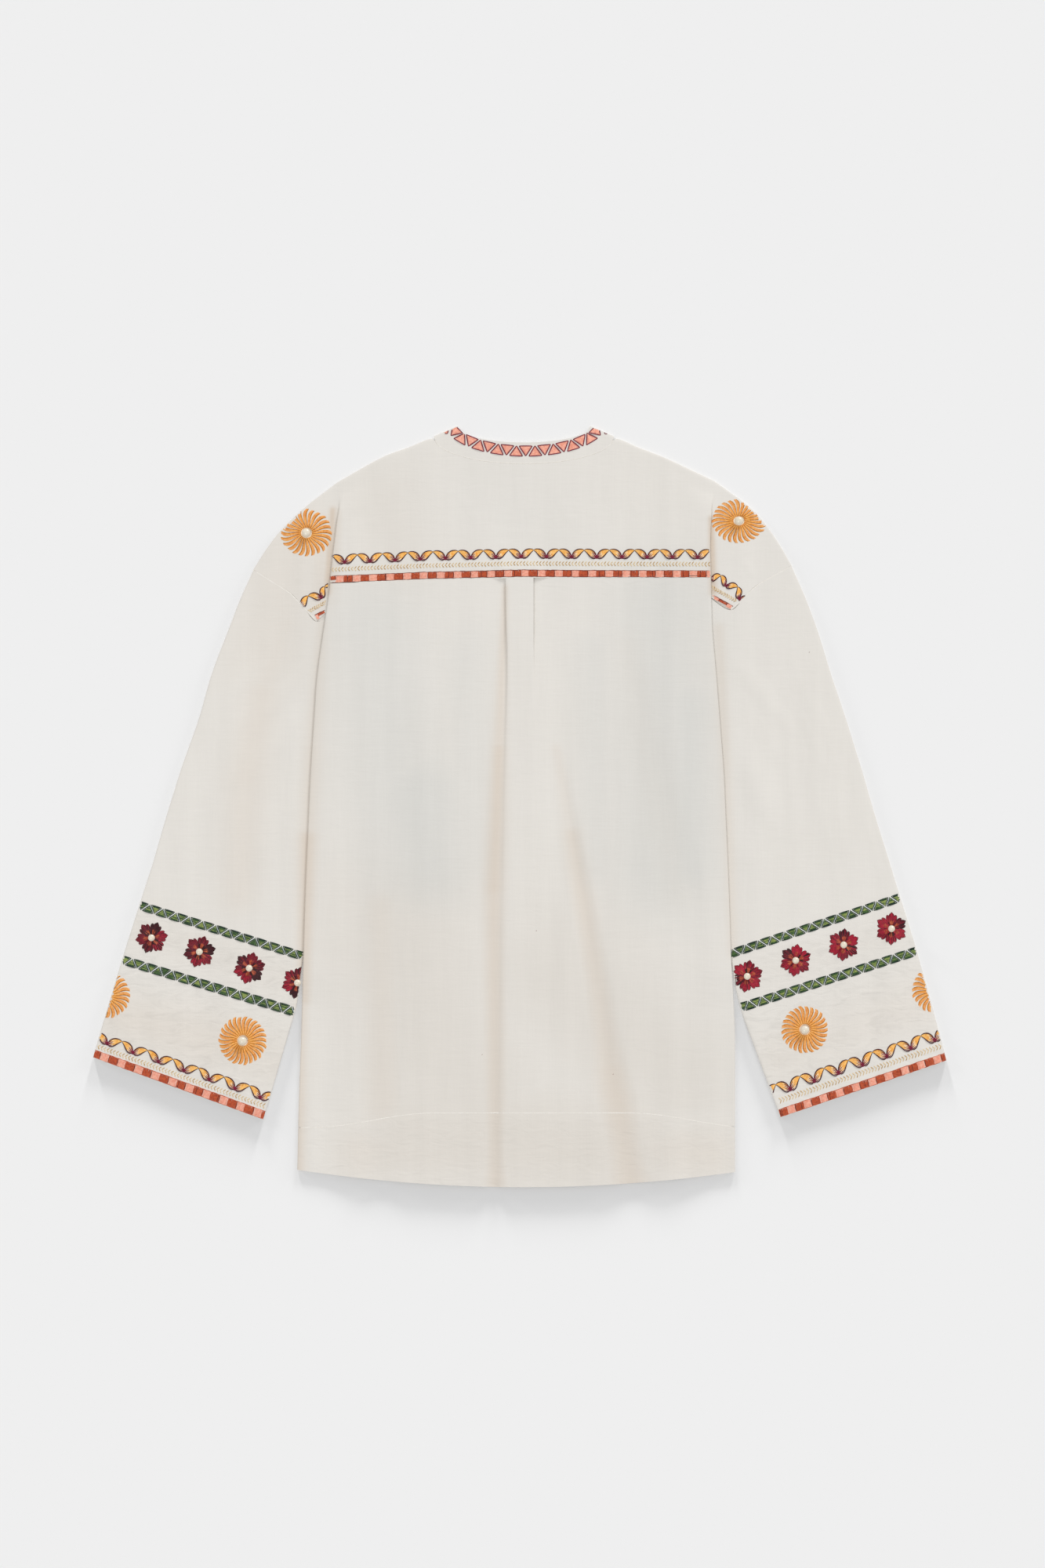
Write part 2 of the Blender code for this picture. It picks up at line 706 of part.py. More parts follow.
def make_sleeve(side):
    seam = shifted(ARMHOLE[side], SEAM_SHIFT * inward(side))
    shares = stations(seam, 2)
    lower_shares = [0.0, 0.33, 0.67, 1.0]
    table = SLEEVE[side]
    last = table[-1].along
    alongs = [0.0, 8.0, 55.0, 101.0, 156.0, 176.0, 195.0, 218.0, 241.0, 265.0, 289.0, 312.0, last]
    rings = []
    for along in alongs:
        outer, inner = sleeve_end(side, along)
        upper = [outer.lerp(inner, share) for share in shares]
        lower = [outer.lerp(inner, share) for share in lower_shares]
        rings.append(sleeve_ring(side, upper, lower))
    outer, inner = sleeve_end(side, last)
    across = (inner - outer).normalized()
    tip = seam[0] + across * BULGE
    underarm = seam[-1]
    crown = SLEEVE_CROWN[side]
    for climb in (0.3, 0.6, 0.8, 1.0):
        edge = Vector((read(crown, "x", climb), read(crown, "y", climb))) + across * BULGE
        bow = edge - outer.lerp(tip, climb)
        upper = []
        for share in shares:
            start = outer.lerp(inner, share)
            end = walk(seam, share) if share > 0 else tip
            upper.append(start.lerp(end, climb) + bow * (1 - share))
        lower = []
        for share in lower_shares:
            start = outer.lerp(inner, share)
            end = tip.lerp(underarm, share)
            end = end + (start - end).normalized() * 2.5 * GAP
            lower.append(start.lerp(end, climb) + bow * (1 - share))
        lower[0], lower[-1] = upper[0], upper[-1]
        rings.append(sleeve_ring(side, upper, lower))
    cloth("sleeve_" + side, rings, "ivory_cotton", tube=True)


def ellipse(size, angle, dip):
    """Point of a neckline ellipse; the angle runs from the left end under to the right one."""
    return Vector((NECK_X - size["half"] * math.cos(angle),
                   size["y"] - size[dip] * math.sin(angle)))


def make_neckband():
    """Band along the back of the neck, turned over at both ends, and round the front below."""
    steps = NECK_STEPS
    shares = (0.0, 0.5, 1.0)

    def across(angle, dip, height):
        outer = ellipse(BAND_OUTER, angle, dip)
        inner = ellipse(BAND_INNER, angle, dip)
        return [tuple(outer.lerp(inner, share)) + (height,) for share in shares]

    slit = (SLIT_WIDTH / 2) / BAND_INNER["half"]
    columns = []
    for step in range(steps // 2 + 1):
        angle = math.pi / 2 - slit - (math.pi / 2 - slit) * step / (steps // 2)
        columns.append(across(angle, "front", level(1)))
    for side, start in ((-1, 0.0), (1, math.pi)):
        low = across(start, "back", level(1))
        fold_line = Vector(low[-1][:2]) - Vector(low[0][:2])
        out = Vector((fold_line.y * side, fold_line.x * -side)).normalized()
        order = range(1, BEND_STEPS)
        for step in (order if side < 0 else reversed(order)):
            angle = math.pi * step / BEND_STEPS
            lean = out * BEND * math.sin(angle)
            height = level(1) + BEND * (1 - math.cos(angle))
            columns.append([(x + lean.x, y + lean.y, height) for x, y, _ in low])
        if side < 0:
            for step in range(steps + 1):
                columns.append(across(math.pi * step / steps, "back", level(2)))
    for step in range(steps // 2 + 1):
        angle = math.pi - (math.pi / 2 - slit) * step / (steps // 2)
        columns.append(across(angle, "front", level(1)))
    net = [[column[row] for column in columns] for row in range(len(shares))]
    cloth("neckband", net, "ivory_cotton")


def side_seam(side, y):
    """Side seam of the front, where the back's folded layer ends."""
    return read(UNDER_EDGE, side, y) + inward(side) * (SEAM_DROP + 2 * GAP)


def make_front():
    """Plain front on the floor: sides, armholes, shoulders, neckline and centre slit."""
    sides = {}
    for side in ("left", "right"):
        turn_in = inward(side)
        edge = []
        for y in (-193, -140, -102, -57, -12, 33, 80, 92):
            edge.append((side_seam(side, y), y))
        edge.insert(0, (side_seam(side, -300), hem_seam_y(side_seam(side, -300)) + GAP))
        tip = Vector(ARMHOLE[side][0])
        underarm = Vector(ARMHOLE[side][-1])
        inside = Vector((turn_in * 2.5, 1.2))
        for share in (0.88, 0.6, 0.3, 0.12):
            edge.append(tuple(tip.lerp(underarm, share) + inside))
        shoulder_x = (242, 225, 200, 170, 135, 105, 89) if side == "left" else \
            (247, 230, 205, 175, 145, 115, 97)
        for distance in shoulder_x:
            x = -turn_in * distance
            point, _ = top_edge(x)
            point = point + turn_under(x) * (YOKE_RETURN + WALL + 2 * GAP)
            edge.append(tuple(point))
        sides[side] = edge
    neckline = []
    steps = 20
    for step in range(1, steps):
        point = ellipse(BAND_OUTER, math.pi * step / steps, "front")
        middle = Vector((NECK_X, BAND_OUTER["y"]))
        point += (point - middle).normalized() * 2 * GAP
        if abs(point.x - NECK_X) > SLIT_WIDTH:
            neckline.append(tuple(point))
    slit_top = BAND_OUTER["y"] - BAND_OUTER["front"] - 2 * GAP
    slit_foot = slit_top - SLIT_LENGTH
    half = SLIT_WIDTH / 2
    slit = [(NECK_X - half, slit_top), (NECK_X - half, slit_foot),
            (NECK_X + half, slit_foot), (NECK_X + half, slit_top)]
    middle = len(neckline) // 2
    outline = sides["left"] + neckline[:middle] + slit + neckline[middle:]
    outline += sides["right"][::-1]
    hem = [(x, hem_seam_y(x) + GAP) for x in front_hem_stations()[-2:0:-1]]
    flat_piece("front_panel", outline + hem, "ivory_cotton", level(1))


def front_hem_stations():
    """Places across the front's hem seam, from left to right."""
    left = side_seam("left", -300)
    right = side_seam("right", -300)
    return [mix(left, right, step / 12) for step in range(13)]


def make_front_hem():
    across = front_hem_stations()
    upper = [(x, hem_seam_y(x)) for x in across]
    lower = [(x, hem_y(x) + FRONT_HEM_SHORTER) for x in reversed(across)]
    flat_piece("hem_band_front", upper + lower, "ivory_cotton", level(1))


def sleeve_strip(name, side, along, width, finish):
    """Straight strip of satin stitch across the upper side of a sleeve."""
    corners = []
    for place, order in ((along - width, (0.012, 0.988)), (along, (0.988, 0.012))):
        outer, inner = sleeve_end(side, place)
        corners += [tuple(outer.lerp(inner, share)) for share in order]
    flat_piece(name, corners, finish, level(2) + MOTIF_HEIGHT, SATIN)


def make_bands():
    for side in ("left", "right"):
        table = SLEEVE[side]
        sleeve_strip("green_band_lower_" + side, side, table[1].along, STRIP, "green_satin_stitch")
        sleeve_strip("green_band_upper_" + side, side, table[2].along, STRIP, "green_satin_stitch")
        sleeve_strip("cuff_check_" + side, side, STRIP + 0.4, STRIP - 0.4, "rust_satin_stitch")
    net = []
    for share in (0.0, 0.04, 0.07):
        row = yoke_row(share)
        first = len(shoulder_patch("left", share, row[0])) + 2 * (BEND_STEPS + 1)
        net.append([(x, y, z + MOTIF_HEIGHT) for x, y, z in row[first:len(row) - first]])
    cloth("yoke_check_strip", net, "rust_satin_stitch", thickness=SATIN)


def petal_outline(x, y):
    """Six petals, each with a pointed middle lobe between two round ones."""
    outline = []
    lobes = [(-24, 0.62), (-15, 0.86), (-7, 0.84), (0, 1.0), (7, 0.84), (15, 0.86)]
    for petal in range(6):
        for degrees, reach in lobes:
            angle = math.radians(60 * petal + degrees + 6)
            outline.append((x + FLOWER_RADIUS * reach * math.cos(angle),
                            y + FLOWER_RADIUS * reach * math.sin(angle)))
    return outline


def cut_off(outline, limit, turn_in):
    """Outline without what lies past the sleeve's folded inner edge."""
    kept = []
    for (x, y), (next_x, next_y) in zip(outline, outline[1:] + outline[:1]):
        inside = (limit - x) * turn_in >= 0
        if inside:
            kept.append((x, y))
        if inside != ((limit - next_x) * turn_in >= 0):
            kept.append((limit, mix(y, next_y, (limit - x) / (next_x - x))))
    return kept


def make_flowers():
    height = level(2) + MOTIF_HEIGHT
    for flower in FLOWERS:
        side = flower.name.split("_")[0]
        outline = petal_outline(flower.x, flower.y)
        if flower.name in ("left_4", "right_1"):
            limit = sleeve_end(side, FLOWERS_ALONG)[1].x
            outline = cut_off(outline, limit, inward(side))
        flat_piece("flower_" + flower.name, outline, "crimson_satin_stitch", height, SATIN)
        make_pearl(flower.name, flower.x, flower.y, PEARL_RADIUS)


# One ray of a sun: its points by share of the pitch from its middle, and of the radius
RAY = ((-0.5, 0.42), (-0.25, 0.95), (0.25, 0.95))


def ray_points(sun, angle, share):
    """Point of a sun at an angle and a share of its radius, bent by the swirl outside."""
    bend = math.radians(16) * sun.swirl * max(share - 0.5, 0.0)
    turned = angle - bend
    reach = sun.radius * share
    return (sun.x + reach * math.cos(turned), sun.y + reach * sun.tall * math.sin(turned))


def make_suns():
    height = level(2) + MOTIF_HEIGHT
    rays = 24
    pitch = 2 * math.pi / rays
    for sun in SUNS:
        outline = []
        for ray in range(rays):
            angle = ray * pitch
            for offset, share in RAY:
                outline.append(ray_points(sun, angle + offset * pitch, share))
        flat_piece("sun_" + sun.name, outline, "gold_satin_stitch", height, SATIN)
        make_pearl(sun.name, sun.x, sun.y, SUN_PEARL_RADIUS)
    for sun in HALF_SUNS:
        turn_in = inward(sun.name.split("_")[1])
        lean = math.radians(17) * -turn_in
        facing = 0.0 if turn_in > 0 else math.pi
        outline = []
        for ray in range(-5, 6):
            angle = facing + lean + ray * pitch
            for offset, share in RAY:
                outline.append(ray_points(sun, angle + offset * pitch, share))
        outline.append(ray_points(sun, facing + lean + 5.5 * pitch, RAY[0][1]))
        flat_piece("sun_" + sun.name, outline, "gold_satin_stitch", height, SATIN)


def make_pearl(name, x, y, radius):
    """Bead sewn on at the middle of a motif, slightly flattened."""
    flatness = 0.8
    bm = bmesh.new()
    bmesh.ops.create_uvsphere(bm, u_segments=8, v_segments=5, radius=radius * MM)
    bmesh.ops.scale(bm, vec=(1.0, 1.0, flatness), verts=bm.verts)
    mesh = bpy.data.meshes.new("pearl_" + name)
    bm.to_mesh(mesh)
    bm.free()
    mesh.shade_smooth()
    pearl = place_object("pearl_" + name, mesh, "pearl_bead")
    seat = level(2) + WALL / 2 + GAP + SATIN + GAP
    pearl.location = Vector((x, y, seat + radius * flatness)) * MM


def main():
    for piece in list(bpy.data.objects):
        bpy.data.objects.remove(piece)
    blouse = bpy.data.collections.new("blouse")
    bpy.context.scene.collection.children.link(blouse)
    make_front()
    make_front_hem()
    make_back()
    make_back_hem()
    make_yoke()
    make_neckband()
    for side in ("left", "right"):
        make_sleeve(side)
    make_bands()
    make_flowers()
    make_suns()


main()
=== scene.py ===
"""Embroidered cotton blouse laid flat with its back up, seen from straight above.

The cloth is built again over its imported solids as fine, creased shells, and the embroidery is
laid on it thread by thread. Lengths in the tables are millimetres; meshes are in metres.
"""

import math
import random
from collections import namedtuple

import bmesh
import bpy
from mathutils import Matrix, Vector
from mathutils.bvhtree import BVHTree


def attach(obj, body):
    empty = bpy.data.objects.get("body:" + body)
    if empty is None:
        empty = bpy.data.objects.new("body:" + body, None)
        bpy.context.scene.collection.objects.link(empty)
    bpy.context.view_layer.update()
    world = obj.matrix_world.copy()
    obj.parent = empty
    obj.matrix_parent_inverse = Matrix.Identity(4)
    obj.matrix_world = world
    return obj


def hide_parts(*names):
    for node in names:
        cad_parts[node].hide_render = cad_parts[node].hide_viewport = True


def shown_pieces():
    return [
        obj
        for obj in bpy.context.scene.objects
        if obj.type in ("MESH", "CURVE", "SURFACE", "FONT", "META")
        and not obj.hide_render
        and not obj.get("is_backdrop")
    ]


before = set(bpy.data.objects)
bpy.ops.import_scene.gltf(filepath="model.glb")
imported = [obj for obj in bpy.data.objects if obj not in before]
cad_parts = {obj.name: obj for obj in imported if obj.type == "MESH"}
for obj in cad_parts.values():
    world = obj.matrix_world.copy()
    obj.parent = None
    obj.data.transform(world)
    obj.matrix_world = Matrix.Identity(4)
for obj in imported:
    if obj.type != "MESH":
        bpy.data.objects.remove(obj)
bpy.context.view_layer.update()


# Cotton of the blouse
# Washed plain-weave cotton in ivory, thin enough for what lies under it to show faintly.
# It is woven with slubs, so it gives the eye fine uneven lines along both threads and a dry,
# soft surface with almost no shine.

def linear(hex_colour):
    """Scene-linear colour of an sRGB hex value, with an alpha of 1."""
    channels = [int(hex_colour[i:i + 2], 16) / 255 for i in (0, 2, 4)]
    return [c / 12.92 if c <= 0.04045 else ((c + 0.055) / 1.055) ** 2.4 for c in channels] + [1.0]


def add_node(tree, kind, inputs=None, **settings):
    """Node of a kind with its settings; each input takes a value or another node's output."""
    node = tree.nodes.new(kind)
    for name, value in settings.items():
        setattr(node, name, value)
    for name, value in (inputs or {}).items():
        if isinstance(value, bpy.types.NodeSocket):
            tree.links.new(value, node.inputs[name])
        else:
            node.inputs[name].default_value = value
    return node


MM = 0.001


def per_mm(spacing):
    """Texture scale, in cycles a metre, of a pattern with this spacing in millimetres."""
    return 1.0 / (spacing * MM)


def washed_cotton():
    """Ivory cotton, puckered, and given painted shade and show-through by the tint its mesh carries.
    """
    material = bpy.data.materials.new("washed_ivory_cotton")
    material.use_nodes = True
    tree = material.node_tree
    shader = tree.nodes["Principled BSDF"]
    shader.inputs["Roughness"].default_value = 0.9
    shader.inputs["Specular IOR Level"].default_value = 0.25
    shader.inputs["Sheen Weight"].default_value = 0.12
    shader.inputs["Sheen Roughness"].default_value = 0.5
    place = add_node(tree, "ShaderNodeTexCoord").outputs["Object"]
    clouds = add_node(tree, "ShaderNodeTexNoise",
                      {"Vector": place, "Scale": per_mm(90), "Detail": 3.0, "Roughness": 0.55})
    # Threads are about 0.4 mm apart; slubs are drawn 1.5 mm wide and 32 mm long to show
    slubs = []
    for stretch in ((per_mm(1.5), per_mm(32), per_mm(20)), (per_mm(32), per_mm(1.6), per_mm(20))):
        turned = add_node(tree, "ShaderNodeMapping", {"Vector": place, "Scale": stretch})
        slubs.append(add_node(tree, "ShaderNodeTexNoise",
                              {"Vector": turned.outputs["Vector"], "Scale": 1.0, "Detail": 2.0}))
    woven = add_node(tree, "ShaderNodeMath",
                     {0: slubs[0].outputs["Fac"], 1: slubs[1].outputs["Fac"]}, operation="ADD")
    slub_tone = add_node(tree, "ShaderNodeMapRange",
                         {"Value": woven.outputs["Value"], "From Min": 0.7, "From Max": 1.3,
                          "To Min": 0.985, "To Max": 1.01})
    cloud_colour = add_node(tree, "ShaderNodeMix",
                            {"Factor": clouds.outputs["Fac"], 6: linear("E6E2DC"),
                             7: linear("E2DED7")}, data_type="RGBA")
    tint = add_node(tree, "ShaderNodeAttribute", attribute_name="tint")
    split = add_node(tree, "ShaderNodeSeparateColor", {"Color": tint.outputs["Color"]})
    # Warm tan painted shade in folds and other shaded places
    warm = add_node(tree, "ShaderNodeMix",
                    {"Factor": split.outputs["Red"], 6: cloud_colour.outputs[2],
                     7: linear("D2BFAB")}, data_type="RGBA")
    # Cool grey where the front shows through, and painted shade where the cloth lies in shade
    cool = add_node(tree, "ShaderNodeMix",
                    {"Factor": split.outputs["Green"], 6: warm.outputs[2],
                     7: linear("BFC4C3")}, data_type="RGBA")
    tone = add_node(tree, "ShaderNodeMix",
                    {"Factor": 1.0, 6: cool.outputs[2], 7: slub_tone.outputs["Result"]},
                    data_type="RGBA", blend_type="MULTIPLY")
    # Soft stripes 18 mm wide, running up and down the blouse, darken and lighten the cloth
    striped = add_node(tree, "ShaderNodeMapping",
                       {"Vector": place, "Scale": (per_mm(18), per_mm(320), per_mm(60))})
    long_streaks = add_node(tree, "ShaderNodeTexNoise",
                     {"Vector": striped.outputs["Vector"], "Scale": 1.0, "Detail": 1.0})
    long_streak_tone = add_node(tree, "ShaderNodeMapRange",
                          {"Value": long_streaks.outputs["Fac"], "From Min": 0.3, "From Max": 0.7,
                           "To Min": 0.978, "To Max": 1.006})
    stripes = add_node(tree, "ShaderNodeMix",
                       {"Factor": 1.0, 6: tone.outputs[2], 7: long_streak_tone.outputs["Result"]},
                       data_type="RGBA", blend_type="MULTIPLY")
    # Where the stitches draw the cloth up, small puckers 20 mm long are bumped into it, and their
    # shade is painted into its colour
    drawn = add_node(tree, "ShaderNodeMapping",
                     {"Vector": place, "Scale": (per_mm(20), per_mm(8), per_mm(12))})
    pucker = add_node(tree, "ShaderNodeTexNoise",
                      {"Vector": drawn.outputs["Vector"], "Scale": 1.0, "Detail": 3.0,
                       "Distortion": 0.9})
    pulled = add_node(tree, "ShaderNodeMath",
                      {0: pucker.outputs["Fac"], 1: split.outputs["Blue"]}, operation="MULTIPLY")
    painted_pucker_shade = add_node(tree, "ShaderNodeMapRange",
                           {"Value": pulled.outputs["Value"], "From Min": 0.5, "From Max": 0.75,
                            "To Min": 1.0, "To Max": 0.93})
    shaded = add_node(tree, "ShaderNodeMix",
                      {"Factor": 1.0, 6: stripes.outputs[2], 7: painted_pucker_shade.outputs["Result"]},
                      data_type="RGBA", blend_type="MULTIPLY")
    tree.links.new(shaded.outputs[2], shader.inputs["Base Color"])
    rumple = add_node(tree, "ShaderNodeTexNoise",
                      {"Vector": place, "Scale": per_mm(22), "Detail": 4.0, "Distortion": 0.6})
    rumples = add_node(tree, "ShaderNodeBump",
                       {"Height": rumple.outputs["Fac"], "Strength": 0.25, "Distance": 0.5 * MM})
    puckers = add_node(tree, "ShaderNodeBump",
                       {"Height": pulled.outputs["Value"], "Strength": 0.7, "Distance": 1.1 * MM,
                        "Normal": rumples.outputs["Normal"]})
    weave = add_node(tree, "ShaderNodeBump",
                     {"Height": woven.outputs["Value"], "Strength": 0.2, "Distance": 0.05 * MM,
                      "Normal": puckers.outputs["Normal"]})
    tree.links.new(weave.outputs["Normal"], shader.inputs["Normal"])
    return material


COTTON = washed_cotton()

# Walls of the solids, each layer of cloth a wall and a gap above the one below. A fold bends
# round half a layer, and its outside bulges that and half a wall past the end of the flat part.
WALL = 1.0
GAP = 0.3
LAYER = WALL + GAP
BEND = LAYER / 2
BULGE = BEND + WALL / 2
BEND_STEPS = 3
# Share of a bend at which its last point lies, just short of the middle of its fold
BEND_ENDS = 0.93
# Thickness of the cloth here, thinner than the walls so that no layer touches the next
CLOTH = 0.8


def level(layer):
    """Height of the middle of a cloth wall, counting layers up from the floor."""
    return WALL / 2 + (layer - 1) * LAYER


def read(table, column, at):
    """Value of a named column on straight lines between rows, which go by the first column."""
    rows = sorted(table)
    below = [row for row in rows if row[0] <= at] or rows[:1]
    above = [row for row in rows if row[0] > at] or rows[-1:]
    low, high = below[-1], above[0]
    span = high[0] - low[0]
    share = (at - low[0]) / span if span > 0 else 0.0
    share = min(max(share, 0.0), 1.0)
    return getattr(low, column) * (1 - share) + getattr(high, column) * share


def ease(share):
    """Smooth step from 0 to 1."""
    share = min(max(share, 0.0), 1.0)
    return share * share * (3 - 2 * share)


def mix(a, b, share):
    """Value at a share of the way from a to b."""
    return a * (1 - share) + b * share


def steady(before, after, into, out):
    """Slope at a point of a curve, held low enough that the curve never swings past it."""
    if before * after <= 0:
        return 0.0
    blended = (before * out + after * into) / (into + out)
    return math.copysign(min(abs(blended), 3 * abs(before), 3 * abs(after)), blended)


def smooth_line(points, cuts):
    """Smooth curve through points, with so many cuts in each stretch between two."""
    lengths = [max((b - a).length, 1e-6) for a, b in zip(points, points[1:])]
    slopes = [(b - a) / run for a, b, run in zip(points, points[1:], lengths)]
    turns = [slopes[0]]
    for before, after, into, out in zip(slopes, slopes[1:], lengths, lengths[1:]):
        turns.append(Vector([steady(b, a, into, out) for b, a in zip(before, after)]))
    turns.append(slopes[-1])
    line = []
    for number, cut in enumerate(cuts):
        a, b, run = points[number], points[number + 1], lengths[number]
        for step in range(cut):
            t = step / cut
            line.append(a * (1 + 2 * t) * (1 - t) ** 2 + turns[number] * run * t * (1 - t) ** 2
                        + b * t * t * (3 - 2 * t) + turns[number + 1] * run * t * t * (t - 1))
    return line + [points[-1]]


def finer(net, step):
    """Net cut finely along its rows and then across them, and the coarse place of each cut."""
    net = [[Vector(point) for point in row] for row in net]
    places = []
    for _ in range(2):
        cuts = []
        for number in range(len(net[0]) - 1):
            longest = max((row[number + 1] - row[number]).length for row in net)
            cuts.append(max(1, math.ceil(longest / step)))
        places.append([number + part / cut for number, cut in enumerate(cuts)
                       for part in range(cut)] + [len(cuts)])
        net = [list(column) for column in zip(*(smooth_line(row, cuts) for row in net))]
    return net, places[0], places[1]


# Creases pressed or folded into the cloth: ends in plan, how far the middle bows to the left,
# half width and height, below 0 for a trough
Crease = namedtuple("Crease", "x1 y1 x2 y2 bow half height")


def crease_lift(creases, x, y):
    """Height that soft creases add at a place."""
    lift = 0.0
    for crease in creases:
        run = Vector((crease.x2 - crease.x1, crease.y2 - crease.y1))
        length = run.length
        run /= length
        out = Vector((x - crease.x1, y - crease.y1))
        share = out.dot(run) / length
        if 0 < share < 1:
            aside = run.x * out.y - run.y * out.x - crease.bow * 4 * share * (1 - share)
            if abs(aside) < crease.half:
                fade = ease(share / 0.3) * ease((1 - share) / 0.3)
                lift += crease.height * fade * math.cos(aside / crease.half * math.pi / 2) ** 2
    return lift


def lie(x, y):
    """Gentle waviness of cloth that nobody has ironed quite flat."""
    return (0.10 * math.sin(x / 17.0 + 1.3 * math.sin(y / 61.0))
            * math.sin(y / 47.0 + 0.7 * math.sin(x / 29.0) + 1.0)
            + 0.06 * math.sin(x / 7.3 + y / 23.0) * math.sin(y / 19.0 - x / 31.0 + 2.0))


# Painted shade: the cloth is painted warmer where a fold shades it and in other shaded places, and
# cooler where the front shows through and where it lies in shade, as low on the back: ends in plan,
# half width at each end, and how strong each tint is
Spot = namedtuple("Spot", "x1 y1 x2 y2 half1 half2 warm cool")
SPOTS = [
    Spot(-189, 175, -198, 55, 7, 9, 0.22, 0.0), Spot(-198, 55, -203, -30, 9, 9, 0.26, 0.0),
    Spot(-203, -30, -207, -185, 9, 7, 0.52, 0.0), Spot(-209, -190, -212, -350, 7, 7, 0.40, 0.0),
    Spot(190, 170, 197, 40, 6, 6, 0.25, 0.0), Spot(197, 40, 204, -140, 6, 6, 0.22, 0.0),
    Spot(-179, 283, -184, 205, 3.5, 5, 0.70, 0.0), Spot(183, 275, 185, 205, 3, 4, 0.80, 0.0),
    Spot(-186, 270, -190, 200, 12, 14, 0.25, 0.0), Spot(-176, 280, -178, 220, 6, 6, 0.3, 0.0),
    Spot(-223, 175, -246, 108, 12, 18, 0.16, 0.0), Spot(-246, 108, -261, 25, 18, 20, 0.21, 0.0),
    Spot(-261, 25, -268, -84, 20, 20, 0.19, 0.0), Spot(-215, 260, -240, 150, 40, 40, 0.14, 0.0),
    Spot(-14, 209, -20, 55, 3, 7, 0.35, 0.0), Spot(-20, 55, -25, -80, 7, 10, 0.50, 0.0),
    Spot(-25, -80, -23, -360, 10, 11, 0.42, 0.0),
    Spot(35, 55, 50, -27, 5, 9, 0.15, 0.0), Spot(50, -27, 69, -140, 9, 13, 0.35, 0.0),
    Spot(69, -140, 88, -252, 13, 17, 0.38, 0.0), Spot(88, -252, 106, -360, 17, 20, 0.44, 0.0),
    Spot(-133, -95, -130, -290, 19, 21, 0.25, 0.0), Spot(103, 153, 148, -80, 16, 20, 0.08, 0.10),
    Spot(-110, -315, 110, -325, 50, 50, 0.20, 0.10), Spot(-150, -330, 180, -330, 30, 30, 0.2, 0.0),
    Spot(-120, -130, -60, -280, 80, 80, 0.16, 0.10), Spot(40, -160, 150, -260, 70, 60, 0.15, 0.10),
    Spot(-140, 175, -110, -60, 52, 56, 0.0, 0.22), Spot(-100, 10, -90, -62, 48, 46, 0.0, 0.30),
    Spot(135, 190, 135, -60, 52, 52, 0.0, 0.26), Spot(160, 100, 160, -60, 26, 28, 0.0, 0.30),
    Spot(-50, 150, -48, -60, 25, 25, 0.0, 0.14), Spot(70, 150, 75, -60, 22, 22, 0.0, 0.16),
    Spot(-20, 300, 40, 255, 50, 50, 0.0, 0.05), Spot(-130, 290, -120, 250, 40, 40, 0.10, 0.05),
    Spot(-385, -200, -300, -225, 26, 34, 0.20, 0.0), Spot(-300, -225, -225, -245, 30, 30, 0.14, 0.0),
    Spot(-355, -120, -225, -165, 22, 22, 0.10, 0.04), Spot(250, -240, 380, -190, 30, 30, 0.12, 0.0),
    Spot(230, -160, 350, -125, 20, 20, 0.06, 0.03),
]


def painted_shade_at(x, y):
    """Shares of painted warm shade and of cool show-through with painted shade at a place."""
    warm = cool = 0.0
    for spot in SPOTS:
        run_x, run_y = spot.x2 - spot.x1, spot.y2 - spot.y1
        out_x, out_y = x - spot.x1, y - spot.y1
        share = (out_x * run_x + out_y * run_y) / (run_x * run_x + run_y * run_y)
        share = min(max(share, 0.0), 1.0)
        away = math.hypot(out_x - run_x * share, out_y - run_y * share)
        away /= mix(spot.half1, spot.half2, share)
        strength = math.exp(-away * away)
        warm = max(warm, spot.warm * strength)
        cool = max(cool, spot.cool * strength)
    return warm, cool


def pucker_at(x, y):
    """How far stitches draw the cloth up, in bumps and painted shade: most on the cuffs, then on the
    hem band and yoke.
    """
    cuff_top = -91 - 0.31 * (363 - abs(x))
    cuff = ease((cuff_top - y + 8) / 22) * ease((abs(x) - 206) / 12)
    hem = 0.75 * ease((-288 - y) / 14) * ease((214 - abs(x)) / 6)
    yoke = 0.75 * math.exp(-((y - 224) / 16) ** 2) * ease((212 - abs(x)) / 20)
    return max(cuff, hem, yoke, 0.25)


def cotton_piece(node, bm):
    """Sheet of cotton from a mesh, in the place of one cloth solid."""
    mesh = bpy.data.meshes.new("cloth_" + node)
    bm.to_mesh(mesh)
    bm.free()
    mesh.materials.append(COTTON)
    piece = bpy.data.objects.new("cloth_" + node, mesh)
    bpy.context.scene.collection.objects.link(piece)
    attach(piece, "root")
    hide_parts(node)
    return piece


# Surfaces of the creased cloth by node, for the threads to be laid on
BEDS = {}


